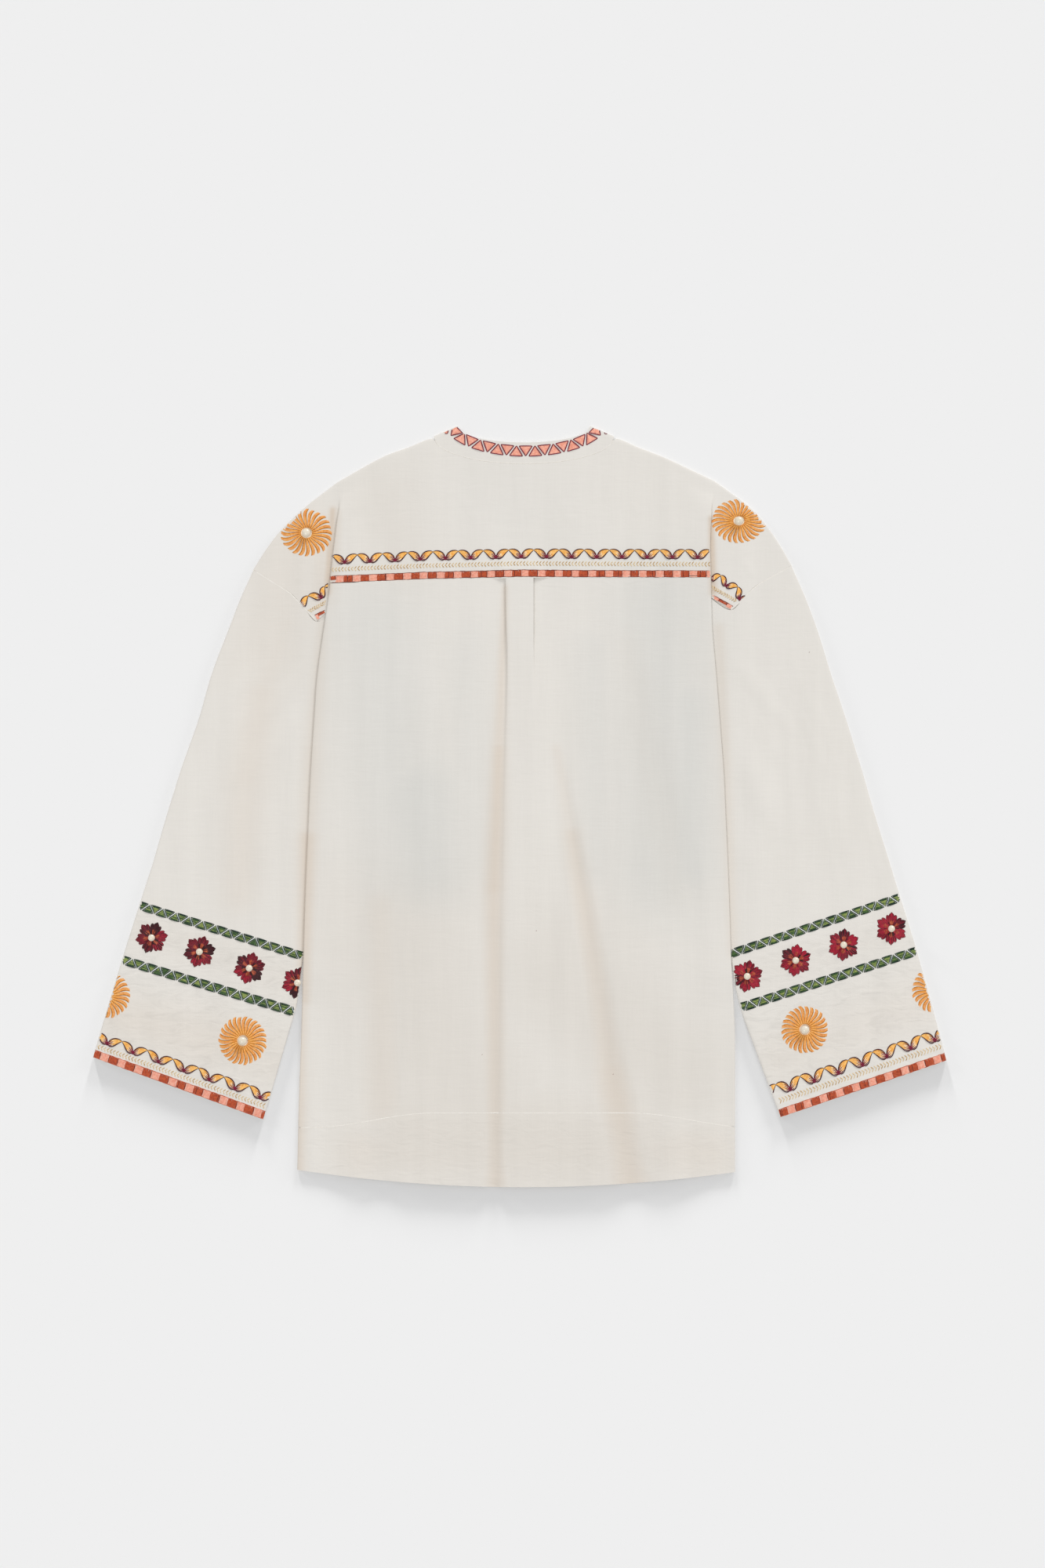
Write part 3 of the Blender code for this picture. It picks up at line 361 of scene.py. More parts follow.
def cloth(node, net, step=3.2, tube=False, without=None, lift=None):
    """Creased shell of a net of points, in the place of one cloth solid."""
    fine, column_places, row_places = finer(net, step)
    columns = len(column_places)
    # finer turns the net over twice, so its rows are rows again
    bm = bmesh.new()
    bmesh.ops.create_grid(bm, x_segments=columns - 1, y_segments=len(row_places) - 1, size=1.0)
    bm.verts.ensure_lookup_table()
    spare = []
    if without:
        for face in bm.faces:
            row, column = divmod(min(vertex.index for vertex in face.verts), columns)
            if without(row_places[row], column_places[column]):
                spare.append(face)
    painted_shade_layer = bm.verts.layers.float_color.new("tint")
    for number, vertex in enumerate(bm.verts):
        row, column = divmod(number, columns)
        point = fine[row][column]
        up = lift(point, row_places[row], column_places[column]) if lift else 0.0
        vertex.co = Vector((point.x, point.y, point.z + up)) * MM
        # The tint carries painted shade, the show-through, and how far puckers draw the cloth up
        warm, cool = painted_shade_at(point.x, point.y)
        vertex[painted_shade_layer] = (warm, cool, pucker_at(point.x, point.y), 1.0)
    bmesh.ops.delete(bm, geom=spare, context="FACES")
    if tube:
        bmesh.ops.remove_doubles(bm, verts=bm.verts, dist=0.001 * MM)
    for face in bm.faces:
        face.smooth = True
    for edge in bm.edges:
        edge.smooth = not edge.is_boundary
    BEDS[node] = BVHTree.FromBMesh(bm)
    piece = cotton_piece(node, bm)
    wall = piece.modifiers.new("wall", "SOLIDIFY")
    wall.thickness = CLOTH * MM
    wall.offset = 0.0


# Front panel and its hem band
# The plain front of the same cotton lies face down on the floor, under everything else, with
# a slit down from the neck. It keeps the outline of its solids, cut and joined at the hem.

def plain_panel(node):
    """Cloth panel with the outline of its own flat solid."""
    bm = bmesh.new()
    bm.from_mesh(bpy.data.objects[node].data)
    bmesh.ops.remove_doubles(bm, verts=bm.verts, dist=0.001 * MM)
    painted_shade_layer = bm.verts.layers.float_color.new("tint")
    for vertex in bm.verts:
        vertex[painted_shade_layer] = (0.0, 0.0, 0.3, 1.0)
    cotton_piece(node, bm)


plain_panel("front_panel")
plain_panel("hem_band_front")


# Sleeves
# Wide, straight sleeves of one cut each, folded flat into a tube with the folds at both sides.
# The armhole seam joins them to the dropped shoulder, and the upper layer keeps soft ridges.

# Outer and inner end of the sleeve's sections, by their distance up from the cuff
Section = namedtuple("Section", "along out_x out_y in_x in_y")
SLEEVE = {
    "left": [
        Section(0, -408.5, -240.0, -245.0, -299.6),
        Section(101, -379.5, -143.0, -213.8, -192.4),
        Section(156, -363.0, -91.0, -206.0, -140.0),
        Section(195, -351.0, -54.0, -196.5, -102.0),
        Section(241, -338.0, -9.0, -185.0, -57.0),
        Section(289, -324.0, 36.0, -174.0, -12.0),
        Section(336, -308.0, 81.0, -163.0, 33.0),
    ],
    "right": [
        Section(0, 408.5, -243.0, 249.0, -297.5),
        Section(112, 379.0, -134.6, 209.0, -189.0),
        Section(166, 363.0, -83.6, 200.0, -137.6),
        Section(197, 354.0, -54.0, 190.5, -102.0),
        Section(244, 340.0, -9.0, 180.5, -57.0),
        Section(291, 327.0, 36.0, 171.0, -12.0),
        Section(338, 313.0, 81.0, 161.0, 33.0),
    ],
}
# Outer edge above the sections, by the share of the way up to the armhole seam's top
Crown = namedtuple("Crown", "share x y")
SLEEVE_CROWN = {
    "left": [Crown(0.0, -308, 81), Crown(0.3, -295, 126), Crown(0.6, -278, 171),
             Crown(0.8, -268, 197), Crown(1.0, -255, 226)],
    "right": [Crown(0.0, 313, 81), Crown(0.3, 298, 126), Crown(0.6, 284, 171),
              Crown(0.8, 274, 198), Crown(1.0, 260, 230)],
}
ARMHOLE = {
    "left": [(-255, 226), (-220, 204), (-194, 177), (-157, 210), (-153, 140), (-153, 78)],
    "right": [(260, 230), (227.2, 211.4), (202, 188), (158, 214), (153, 140), (153, 78)],
}
# How far the sleeve's edge lies from the yoke's at their seam
SEAM_SHIFT = 0.6
# Soft ridges down the upper cloth of a sleeve: ends in plan, half width and height
Ridge = namedtuple("Ridge", "x_top y_top x_foot y_foot half height")
SLEEVE_RIDGES = {
    "left": [Ridge(-264, 150, -292, -80, 20, 2.4), Ridge(-226, 130, -246, -85, 17, 2.0)],
    "right": [Ridge(232, 140, 226, -90, 18, 2.2), Ridge(276, 150, 300, -70, 24, 1.6)],
}
SLEEVE_CREASES = {
    "left": [
        Crease(-247, 172, -268, 20, 6, 9, -0.8), Crease(-262, 60, -270, -88, 3, 8, -0.6),
        Crease(-300, 60, -330, -70, -5, 10, 0.5), Crease(-215, 120, -226, -60, 3, 8, 0.5),
        Crease(-345, -100, -318, -112, 2, 4, 0.35), Crease(-330, -128, -290, -142, -3, 5, 0.4),
        Crease(-286, -122, -262, -140, 2, 4, -0.35), Crease(-300, -160, -250, -178, 3, 5, 0.35),
        Crease(-240, -140, -222, -158, -2, 4, 0.35), Crease(-345, -150, -322, -158, 2, 4, 0.3),
        Crease(-350, -200, -300, -206, 5, 9, 0.4), Crease(-330, -246, -290, -238, 4, 7, 0.35),
        Crease(-250, -245, -236, -270, 3, 6, 0.35), Crease(-380, -215, -362, -232, 2, 6, 0.3),
    ],
    "right": [
        Crease(206, 150, 204, -120, 3, 9, -0.7), Crease(250, 120, 262, -60, 4, 10, 0.5),
        Crease(330, 0, 345, -80, 3, 9, 0.4), Crease(296, 40, 312, -84, -3, 8, -0.4),
        Crease(238, -128, 262, -120, 2, 4, 0.35), Crease(284, -150, 322, -140, 3, 5, 0.35),
        Crease(326, -118, 350, -108, -2, 4, 0.3), Crease(280, -112, 296, -104, 2, 4, -0.3),
        Crease(232, -180, 262, -170, 2, 4, 0.3), Crease(300, -190, 350, -178, 4, 8, 0.35),
        Crease(300, -240, 340, -225, -3, 7, 0.35), Crease(255, -262, 270, -245, 2, 6, 0.3),
    ],
}


def walk(points, share):
    """Point at a share of the way along a line through points."""
    points = [Vector(p) for p in points]
    runs = [(b - a).length for a, b in zip(points, points[1:])]
    left = share * sum(runs)
    for (a, b), run in zip(zip(points, points[1:]), runs):
        if left <= run:
            return a.lerp(b, left / run)
        left -= run
    return points[-1]


def shifted(points, distance):
    """Line moved sideways to the right of its direction, or to the left below 0."""
    points = [Vector(p) for p in points]
    runs = [(b - a).normalized() for a, b in zip(points, points[1:])]
    moved = []
    for number, point in enumerate(points):
        before, after = runs[max(number - 1, 0)], runs[min(number, len(runs) - 1)]
        normal = Vector((before.y + after.y, -before.x - after.x)).normalized()
        lean = max(normal.dot(Vector((before.y, -before.x))), 0.4)
        moved.append(point + normal * distance / lean)
    return moved


def stations(points, each):
    """Shares of the way along a line at its points and at even places between them."""
    points = [Vector(p) for p in points]
    runs = [(b - a).length for a, b in zip(points, points[1:])]
    shares = [0.0]
    for number, run in enumerate(runs):
        start = sum(runs[:number])
        shares += [(start + run * step / each) / sum(runs) for step in range(1, each + 1)]
    return shares


def inward(side):
    """Way towards the middle of the blouse from a side: 1 is to the right, -1 to the left."""
    return 1 if side == "left" else -1


def sleeve_end(side, along):
    """Ends of a sleeve section on the outer and the inner edge, at the middle of the wall."""
    table = SLEEVE[side]
    outer = Vector((read(table, "out_x", along), read(table, "out_y", along)))
    inner = Vector((read(table, "in_x", along), read(table, "in_y", along)))
    across = (inner - outer).normalized()
    return outer + across * BULGE, inner - across * BULGE


def sleeve_swell(side, x, y):
    """Height of the sleeve's upper cloth over its lower, along the soft ridges."""
    height = 0.0
    for ridge in SLEEVE_RIDGES[side]:
        share = (ridge.y_top - y) / (ridge.y_top - ridge.y_foot)
        if 0 < share < 1:
            middle = mix(ridge.x_top, ridge.x_foot, share)
            across = min(abs(x - middle) / ridge.half, 1.0)
            fade = ease(share / 0.3) * ease((1 - share) / 0.3)
            height += ridge.height * fade * math.cos(across * math.pi / 2) ** 2
    return height


def sleeve_ring(side, upper, lower):
    """Closed ring of a sleeve from its upper and lower lines in plan, outer edge first."""
    across = (upper[-1] - upper[0]).normalized()
    ring = [(p.x, p.y, level(2) + sleeve_swell(side, p.x, p.y)) for p in upper]
    middle = level(1) + BEND
    for end, out in ((upper[-1], across), (lower[0], -across)):
        start = 0.0 if out is across else math.pi
        for step in range(1, BEND_STEPS):
            angle = start + math.pi * step / BEND_STEPS
            sideways = out * BEND * abs(math.sin(angle))
            ring.append((end.x + sideways.x, end.y + sideways.y,
                         middle + BEND * math.cos(angle)))
        if out is across:
            ring += [(p.x, p.y, level(1)) for p in lower[::-1]]
    ring.append(ring[0])
    return ring if side == "left" else ring[::-1]


SLEEVE_RINGS = [0.0, 8.0, 30.0, 55.0, 78.0, 101.0, 128.0, 156.0, 176.0, 195.0, 218.0, 241.0,
                265.0, 289.0, 312.0]
CROWN_CLIMBS = (0.3, 0.6, 0.8, 1.0)
LOWER_SHARES = [0.0, 0.33, 0.67, 1.0]


def arm_rings(side, shares):
    """Rings of a sleeve from the cuff up to the foot of the armhole."""
    rings = []
    for along in SLEEVE_RINGS + [SLEEVE[side][-1].along]:
        outer, inner = sleeve_end(side, along)
        upper = [outer.lerp(inner, share) for share in shares]
        lower = [outer.lerp(inner, share) for share in LOWER_SHARES]
        rings.append(sleeve_ring(side, upper, lower))
    return rings


def crown_rings(side, seam, shares):
    """Rings of a sleeve's top, which turn from straight across it to along its slanting seam."""
    outer, inner = sleeve_end(side, SLEEVE[side][-1].along)
    across = (inner - outer).normalized()
    tip = seam[0] + across * BULGE
    underarm = seam[-1]
    crown = SLEEVE_CROWN[side]
    rings = []
    for climb in CROWN_CLIMBS:
        edge = Vector((read(crown, "x", climb), read(crown, "y", climb))) + across * BULGE
        bow = edge - outer.lerp(tip, climb)
        upper = []
        for share in shares:
            start = outer.lerp(inner, share)
            end = walk(seam, share) if share > 0 else tip
            upper.append(start.lerp(end, climb) + bow * (1 - share))
        lower = []
        for share in LOWER_SHARES:
            start = outer.lerp(inner, share)
            end = tip.lerp(underarm, share)
            end = end + (start - end).normalized() * 2.5 * GAP
            lower.append(start.lerp(end, climb) + bow * (1 - share))
        lower[0], lower[-1] = upper[0], upper[-1]
        rings.append(sleeve_ring(side, upper, lower))
    return rings


def make_sleeve(side):
    """Sleeve of one side, with its creases on the upper layer alone."""
    seam = shifted(ARMHOLE[side], SEAM_SHIFT * inward(side))
    shares = stations(seam, 2)
    rings = arm_rings(side, shares) + crown_rings(side, seam, shares)
    upper_columns = len(shares) - 1
    all_columns = len(rings[0]) - 1

    def lift(point, row, column):
        """Creases of the upper layer; the lower one lies flat on the floor."""
        column = column if side == "left" else all_columns - column
        if column > upper_columns:
            return 0.0
        near_edge = ease(column) * ease(upper_columns - column)
        up = lie(point.x, point.y) + crease_lift(SLEEVE_CREASES[side], point.x, point.y)
        return max(up * near_edge, -0.25)

    cloth("sleeve_" + side, rings, tube=True, lift=lift)


for side in ("left", "right"):
    make_sleeve(side)


# Back panel and its hem band
# The lower back is cut wide. One box pleat under the yoke takes in its fullness and opens into
# soft valleys down to the hem. Both side edges roll under, over the inner edges of the sleeves.

YOKE_SEAM_Y = 219.0
HEM_SEAM_Y = -293.0
BACK_SWELL = 2.0
SWELL_GROWS_OVER = 150.0
SEAM_DROP = 7.0
# Where the side rolled under climbs onto the sleeve, and where its hidden end does
CLIMB = {"from": -195.0, "over": 40.0}
SEAM_CLIMB = {"from": 60.0, "over": 32.0}
HEM_SEAM = {"middle": 12.0, "flat": 95.0, "curve": 115.0, "dip": 14.0}
HEM_EDGE = {"middle": 4.0, "y": -364.0, "half": 213.0, "rise": 16.0}

Edge = namedtuple("Edge", "y left right")
# Side edges of the body as they show, and where the cloth turned under them ends
BODY_EDGE = [
    Edge(-370, -213, 206),
    Edge(-280, -212, 206),
    Edge(-212, -209, 206),
    Edge(-140, -207, 202),
    Edge(-76, -205, 200),
    Edge(36, -200, 195),
    Edge(126, -194, 188),
    Edge(170, -188, 184),
    Edge(214, -182, 183),
    Edge(250, -178, 182),
    Edge(298, -172, 185),
    Edge(312, -171, 186),
]
UNDER_EDGE = [
    Edge(-370, -203.0, 196.0),
    Edge(-165, -200.0, 193.0),
    Edge(-140, -197.0, 191.0),
    Edge(-102, -194.0, 188.0),
    Edge(-57, -183.0, 179.0),
    Edge(-12, -172.0, 169.0),
    Edge(33, -161.0, 159.5),
    Edge(80, -151.0, 151.0),
    Edge(219, -156.8, 157.8),
]
# Folds of the box pleat: places, how far each fold is spread open, below 0 where it is doubled
# under, and the height of the strip between them
Pleat = namedtuple("Pleat", "y left right spread_left spread_right lift")
PLEAT = [
    Pleat(219, -14.0, 13.5, -11.0, -11.0, 2.6),
    Pleat(190, -13.5, 13.5, -7.0, -7.0, 2.6),
    Pleat(165, -13.0, 13.5, 0.0, 0.0, 2.6),
    Pleat(150, -13.0, 14.0, 2.0, 2.0, 2.3),
    Pleat(130, -13.0, 14.5, 3.5, 5.0, 1.7),
    Pleat(100, -13.5, 15.0, 5.0, 9.0, 0.9),
    Pleat(60, -14.5, 16.0, 6.0, 12.0, 0.3),
    Pleat(20, -15.5, 17.0, 7.0, 14.0, 0.0),
    Pleat(-100, -18.0, 18.0, 9.0, 14.0, 0.0),
    Pleat(-370, -21.0, 18.0, 12.0, 14.0, 0.0),
]
# Soft valleys in the swell of the back: middle, half width, and share of the swell taken away
Valley = namedtuple("Valley", "y x half depth")
LEFT_VALLEY = [
    Valley(219, -90, 13, 0.0),
    Valley(80, -85, 13, 0.0),
    Valley(33, -98, 13, 0.0),
    Valley(-57, -118, 13, 0.1),
    Valley(-114, -126, 13, 0.45),
    Valley(-370, -132, 13, 0.6),
]
RIGHT_VALLEY = [
    Valley(219, 43, 5, 0.0),
    Valley(90, 43, 5, 0.1),
    Valley(14, 43, 6, 0.6),
    Valley(-76, 58, 8, 0.8),
    Valley(-166, 73, 11, 0.85),
    Valley(-264, 88, 14, 0.85),
    Valley(-370, 108, 18, 0.85),
]
PLEAT_VALLEY = [
    Valley(219, 0, 8, 0.0),
    Valley(150, 0, 8, 0.6),
    Valley(60, 0, 10, 0.8),
    Valley(-370, 0, 14, 0.85),
]
# How the cloth comes down from a side fold: share of the height left at a distance in from it
Ramp = namedtuple("Ramp", "distance height")
RAMP = [Ramp(4, 1.0), Ramp(12, 0.8), Ramp(24, 0.3), Ramp(38, 0.0)]
BACK_CREASES = [
    Crease(103, 149, 148, -76, 4, 10, -0.35), Crease(-140, 120, -150, -60, 4, 12, 0.3),
    Crease(150, 60, 168, -150, -4, 11, 0.35), Crease(-60, 60, -72, -160, 3, 14, 0.3),
    Crease(-165, -60, -172, -250, 3, 10, -0.3), Crease(30, -40, 44, -200, 2, 9, 0.3),
    Crease(120, -100, 138, -270, 3, 12, 0.3), Crease(-100, -120, -104, -300, 2, 11, -0.3),
    Crease(-50, 180, -56, 60, 2, 9, 0.25), Crease(60, 190, 70, 40, -2, 10, 0.25),
    Crease(-20, -90, 40, -96, 2, 5, 0.12), Crease(70, -120, 150, -112, -3, 6, 0.12),
]


def fold(edge, turn_in, low, high, spread):
    """Across a fold that climbs from low to high: x and z pairs, from its foot to its top."""
    rise = high - low
    turn = 2 * math.atan2(rise, max(spread, 0.0))
    radius = rise / (2 * (1 - math.cos(turn)))
    doubled = max(-spread, 0.0)
    shares = [step / BEND_STEPS for step in range(BEND_STEPS)] + [BEND_ENDS]
    bend = [(radius * math.sin(turn * share), radius * (1 - math.cos(turn * share)))
            for share in shares]
    width = 2 * radius * math.sin(turn) - doubled
    path = bend + [(width - x, rise - z) for x, z in reversed(bend)]
    middle = width / 2
    hidden = (1 - math.cos(turn)) / 2 * (WALL / 2 + radius + doubled / 2)
    return [(edge + turn_in * (x - middle + hidden), low + z) for x, z in path]


def seam_y(x):
    """Yoke seam, a little lower at the left."""
    return YOKE_SEAM_Y + (0.03 * x if x < 0 else 0.008 * x)


def hem_seam_y(x):
    """Seam of the hem band, which bows down at both sides."""
    past = abs(x - HEM_SEAM["middle"]) - HEM_SEAM["flat"]
    return HEM_SEAM_Y - HEM_SEAM["dip"] * ease(past / HEM_SEAM["curve"])


def hem_y(x):
    """Lower edge of the hem band."""
    across = abs(x - HEM_EDGE["middle"]) / HEM_EDGE["half"]
    return HEM_EDGE["y"] + HEM_EDGE["rise"] * across ** 2


def valley(table, y, x, middle=None):
    """Share of the swell that a soft valley takes away at a place."""
    middle = read(table, "x", y) if middle is None else middle
    reach = 1.5 * read(table, "half", y)
    across = min(abs(x - middle) / reach, 1.0)
    return read(table, "depth", y) * math.cos(across * math.pi / 2) ** 2


def swell(y, x, pleat_foot):
    """Height of the back's cloth over the layer it lies on."""
    grown = ease((YOKE_SEAM_Y - y) / SWELL_GROWS_OVER)
    from_left = x - read(UNDER_EDGE, "left", y)
    from_right = read(UNDER_EDGE, "right", y) - x
    near_side = ease((min(from_left, from_right) - 12) / 50)
    height = BACK_SWELL * grown * near_side
    for table in (LEFT_VALLEY, RIGHT_VALLEY):
        height *= 1 - valley(table, y, x)
    return height * (1 - valley(PLEAT_VALLEY, y, x, pleat_foot))


def flank(side, y, pleat_foot):
    """Folded side of the back: from the hidden seam out, round the edge and in on top."""
    turn_in = inward(side)
    edge = read(BODY_EDGE, side, y)
    knee = read(UNDER_EDGE, side, y)
    under = level(1) + 2 * LAYER * ease((y - CLIMB["from"]) / CLIMB["over"])
    seam = level(1) + LAYER * ease((y - SEAM_CLIMB["from"]) / SEAM_CLIMB["over"])
    top = under + LAYER
    tangent = edge + turn_in * BULGE
    path = [(knee + turn_in * SEAM_DROP, seam), (knee, under)]
    for step in range(BEND_STEPS + 1):
        angle = math.pi * step / BEND_STEPS
        x = tangent - turn_in * BEND * math.sin(angle)
        path.append((x, under + BEND * (1 - math.cos(angle))))
    for ramp in RAMP:
        x = knee + turn_in * ramp.distance
        rise = (top - level(2)) * ramp.height + swell(y, x, pleat_foot)
        path.append((x, level(2) + rise))
    return path


def back_section(y):
    """Across the back at a height: x and z of every column, from left to right."""
    pleat_left = read(PLEAT, "left", y)
    pleat_right = read(PLEAT, "right", y)
    lift = read(PLEAT, "lift", y)

    def low(x):
        return level(2) + swell(y, x, pleat_left)

    def high(x):
        return level(2) + BACK_SWELL * ease((YOKE_SEAM_Y - y) / SWELL_GROWS_OVER) + lift

    left_fold = fold(pleat_left, 1, low(pleat_left), high(pleat_left),
                     read(PLEAT, "spread_left", y))
    right_top = max(high(pleat_right), low(pleat_right) + 0.05)
    right_fold = fold(pleat_right, -1, low(pleat_right), right_top,
                      read(PLEAT, "spread_right", y))
    left_flank = flank("left", y, pleat_left)
    right_flank = flank("right", y, pleat_left)
    columns = []
    for table in (LEFT_VALLEY, RIGHT_VALLEY):
        middle = read(table, "x", y)
        half = read(table, "half", y)
        columns.append([middle + half * step for step in (-1.5, -0.75, 0.0, 0.75, 1.5)])
    left_columns, right_columns = columns
    foot = left_fold[0][0]
    left_columns += [mix(left_columns[-1], foot, 0.5), foot - 9.0, foot - 4.0]
    right_end = right_flank[-1][0]
    right_columns += [mix(right_columns[-1], right_end, share) for share in (0.35, 0.7)]
    strip = [(mix(left_fold[-1][0], right_fold[-1][0], share), high(0)) for share in (0.33, 0.67)]
    section = list(left_flank)
    section += [(x, low(x)) for x in left_columns]
    section += left_fold + strip + right_fold[::-1]
    section += [(x, low(x)) for x in right_columns]
    return section + right_flank[::-1]


def back_y(y, x):
    """Place of a row of the back, bent to the yoke seam above and to the hem seam below."""
    near_yoke = ease((y - 119) / 100)
    near_hem = ease((-193 - y) / 100)
    return y + near_yoke * (seam_y(x) - YOKE_SEAM_Y) + near_hem * (hem_seam_y(x) - HEM_SEAM_Y)


# Columns of the back's net that turn under at each side
UNDER_COLUMNS = 2 + BEND_STEPS


def back_lift(point, row, column, last):
    """Creases of the back's upper side, none where it is turned under."""
    inside = min(column, last - column) - UNDER_COLUMNS
    if inside <= 0:
        return 0.0
    near_yoke = ease((YOKE_SEAM_Y - point.y) / 30)
    up = lie(point.x, point.y) + crease_lift(BACK_CREASES, point.x, point.y)
    return max(up * ease(inside / 2) * near_yoke, -0.2)


def make_back():
    """Lower back, row by row from the hem band's seam up to the yoke's."""
    rows = [-292.7, -260, -225, -195, -175, -155, -130, -100, -57, -12, 33, 60, 92, 118, 140,
            156, 165, 185, 203, 218.7]
    net = [[(x, back_y(y, x), z) for x, z in back_section(y)] for y in rows]
    last = len(net[0]) - 1
    cloth("back_panel", net,
          lift=lambda point, row, column: back_lift(point, row, column, last))


def make_back_hem():
    """Hem band, with the folds and valleys of the back run on down to its edge."""
    net = []
    for share in (0.0, 0.12, 0.35, 0.7, 1.0):
        section = back_section(mix(HEM_EDGE["y"], HEM_SEAM_Y, share))
        net.append([(x, mix(hem_y(x), hem_seam_y(x) - GAP, share), z) for x, z in section])
    last = len(net[0]) - 1
    cloth("hem_band_back", net,
          lift=lambda point, row, column: back_lift(point, row, column, last))


make_back()
make_back_hem()


# Yoke
# The back yoke runs into both dropped shoulders in one piece. At each side it is tucked, where
# the shoulder turns down, and its top edge turns over to the front.

NECK_X = 4.0
BAND_OUTER = {"y": 353.0, "half": 86.0, "back": 25.0, "front": 110.0}
BAND_INNER = {"y": 363.0, "half": 63.0, "back": 15.0, "front": 100.0}
NECK_GAP = 0.6
NECK_STEPS = 12
Shoulder = namedtuple("Shoulder", "x y")
SHOULDER = {
    "left": [Shoulder(-255, 226), Shoulder(-236, 256), Shoulder(-208, 284), Shoulder(-174, 310),
             Shoulder(-132, 334), Shoulder(-83, 352)],
    "right": [Shoulder(91, 352), Shoulder(140, 333), Shoulder(186, 311), Shoulder(222, 285),
              Shoulder(244, 258), Shoulder(260, 230)],
}
# The shoulder's tuck by its distance down from its tip: how far open, and how high it stands
Tuck = namedtuple("Tuck", "down spread rise")
TUCK_TIP_Y = 298.0
TUCK = [
    Tuck(-15, 10.0, 0.15),
    Tuck(0, 8.0, 0.5),
    Tuck(8, 4.0, 1.6),
    Tuck(16, 1.5, 2.4),
    Tuck(22, 0.0, 2.6),
    Tuck(84, -24.0, 2.6),
]
# Columns of the yoke, by their places across at the seam and at the top edge
Rib = namedtuple("Rib", "foot top")
OUTER_RIBS = {"left": Rib(-100, -106), "right": Rib(103, 114)}
NECK_FOOT = {"left": -84, "right": 87}
NECK_CORNER = {"left": -83, "right": 91}
# Points of the armhole where the yoke ends and where the tuck's foot lies
YOKE_CORNER = 2
TUCK_CORNER = 3
YOKE_ROWS = [0.0, 0.08, 0.26, 0.476, 0.62, 0.72, 0.79, 0.87, 1.0]
YOKE_BELOW_SEAM = 5.0
YOKE_DEPTH = 97.0
YOKE_RETURN = 8.0
# Height, half width, soft sides and share of the yoke of the bump over the pleat
PLEAT_BUMP = {"height": 2.6, "half": 24.0, "side": 10.0, "up": 0.3}
YOKE_CREASES = [
    Crease(107, 294, 112, 279, 0, 3, 0.3), Crease(-8, 326, -4, 240, 1, 5, -0.18),
    Crease(-60, 300, -40, 262, 3, 8, 0.2), Crease(30, 310, 60, 262, -3, 8, 0.2),
    Crease(-150, 300, -140, 262, 2, 8, 0.2), Crease(-120, 316, -96, 286, 2, 7, -0.15),
    Crease(140, 300, 130, 250, 2, 9, 0.2), Crease(-40, 262, 40, 258, 2, 6, 0.15),
    Crease(-206, 232, -214, 212, 1, 6, 0.25), Crease(214, 236, 222, 218, 1, 6, 0.25),
]


def ellipse(size, angle, dip):
    """Point of a neckline ellipse; the angle runs from the left end under to the right one."""
    return Vector((NECK_X - size["half"] * math.cos(angle),
                   size["y"] - size[dip] * math.sin(angle)))


def on_neck(x):
    """Whether a place across the blouse lies on the yoke's neck edge."""
    return abs(x - NECK_X) < BAND_OUTER["half"]


def yoke_ribs():
    """Columns of the yoke between its tucks, spread like the stitches of the neckband."""
    ribs = [OUTER_RIBS["left"], Rib(NECK_FOOT["left"], NECK_CORNER["left"])]
    for step in range(1, NECK_STEPS):
        foot = mix(NECK_FOOT["left"], NECK_FOOT["right"], step / NECK_STEPS)
        ribs.append(Rib(foot, ellipse(BAND_OUTER, math.pi * step / NECK_STEPS, "back").x))
    return ribs + [Rib(NECK_FOOT["right"], NECK_CORNER["right"]), OUTER_RIBS["right"]]


def neck_y(x):
    """Yoke's neck edge, just outside the band."""
    across = (x - NECK_X) / BAND_OUTER["half"]
    return BAND_OUTER["y"] - BAND_OUTER["back"] * math.sqrt(1 - across * across) - NECK_GAP


def shoulder_y(x):
    """Outer edge of the shoulders at a place across the blouse."""
    side = "left" if x < 0 else "right"
    return read(SHOULDER[side], "y", x)


def top_edge(x):
    """Point of the yoke's top edge, and the direction out of the yoke in plan."""
    if on_neck(x):
        return Vector((x, neck_y(x))), Vector((0.0, 1.0))
    low, high = sorted([x, x + (3.0 if x < 0 else -3.0)])
    out = Vector((shoulder_y(low) - shoulder_y(high), high - low)).normalized()
    return Vector((x, shoulder_y(x))) - out * BULGE, out


def turn_under(x):
    """Direction in which the cloth turned under at the shoulder comes back, in plan."""
    from_neck = ease((abs(x - NECK_X) - 90) / 160)
    return Vector((0.7 * from_neck * (1 if x < 0 else -1), -1 + 0.3 * from_neck)).normalized()


def tuck_fold(side, share):
    """The shoulder's tuck in a row of the yoke, from its hidden foot to the body's cloth."""
    y = YOKE_SEAM_Y - YOKE_BELOW_SEAM + YOKE_DEPTH * share
    down = TUCK_TIP_Y - y
    rise = read(TUCK, "rise", down)
    spread = read(TUCK, "spread", down)
    path = fold(read(BODY_EDGE, side, y), inward(side), level(2), level(2) + rise, spread)
    return path, rise


def shoulder_patch(side, share, foot):
    """Shoulder's part of a row, from the armhole seam to the foot of the tuck."""
    seam = [Vector(point) for point in ARMHOLE[side][YOKE_CORNER::-1]]
    start = walk(seam, share)
    tuck_foot = Vector(ARMHOLE[side][TUCK_CORNER])
    top_foot, _ = top_edge(foot[0])
    end = Vector((foot[0], mix(tuck_foot.y, top_foot.y, share)))
    tip = seam[-1]
    inside = Vector((inward(side) * GAP / 2, 2 * GAP))
    points = []
    for step in (0.0, 0.15, 0.32, 0.5, 0.68, 0.85):
        at_top, _ = top_edge(mix(tip.x, foot[0], step))
        bow = at_top - tip.lerp(top_foot, step)
        points.append(start.lerp(end, step) + bow * share + inside * (1 - share * step))
    return [(p.x, p.y, level(2)) for p in points]


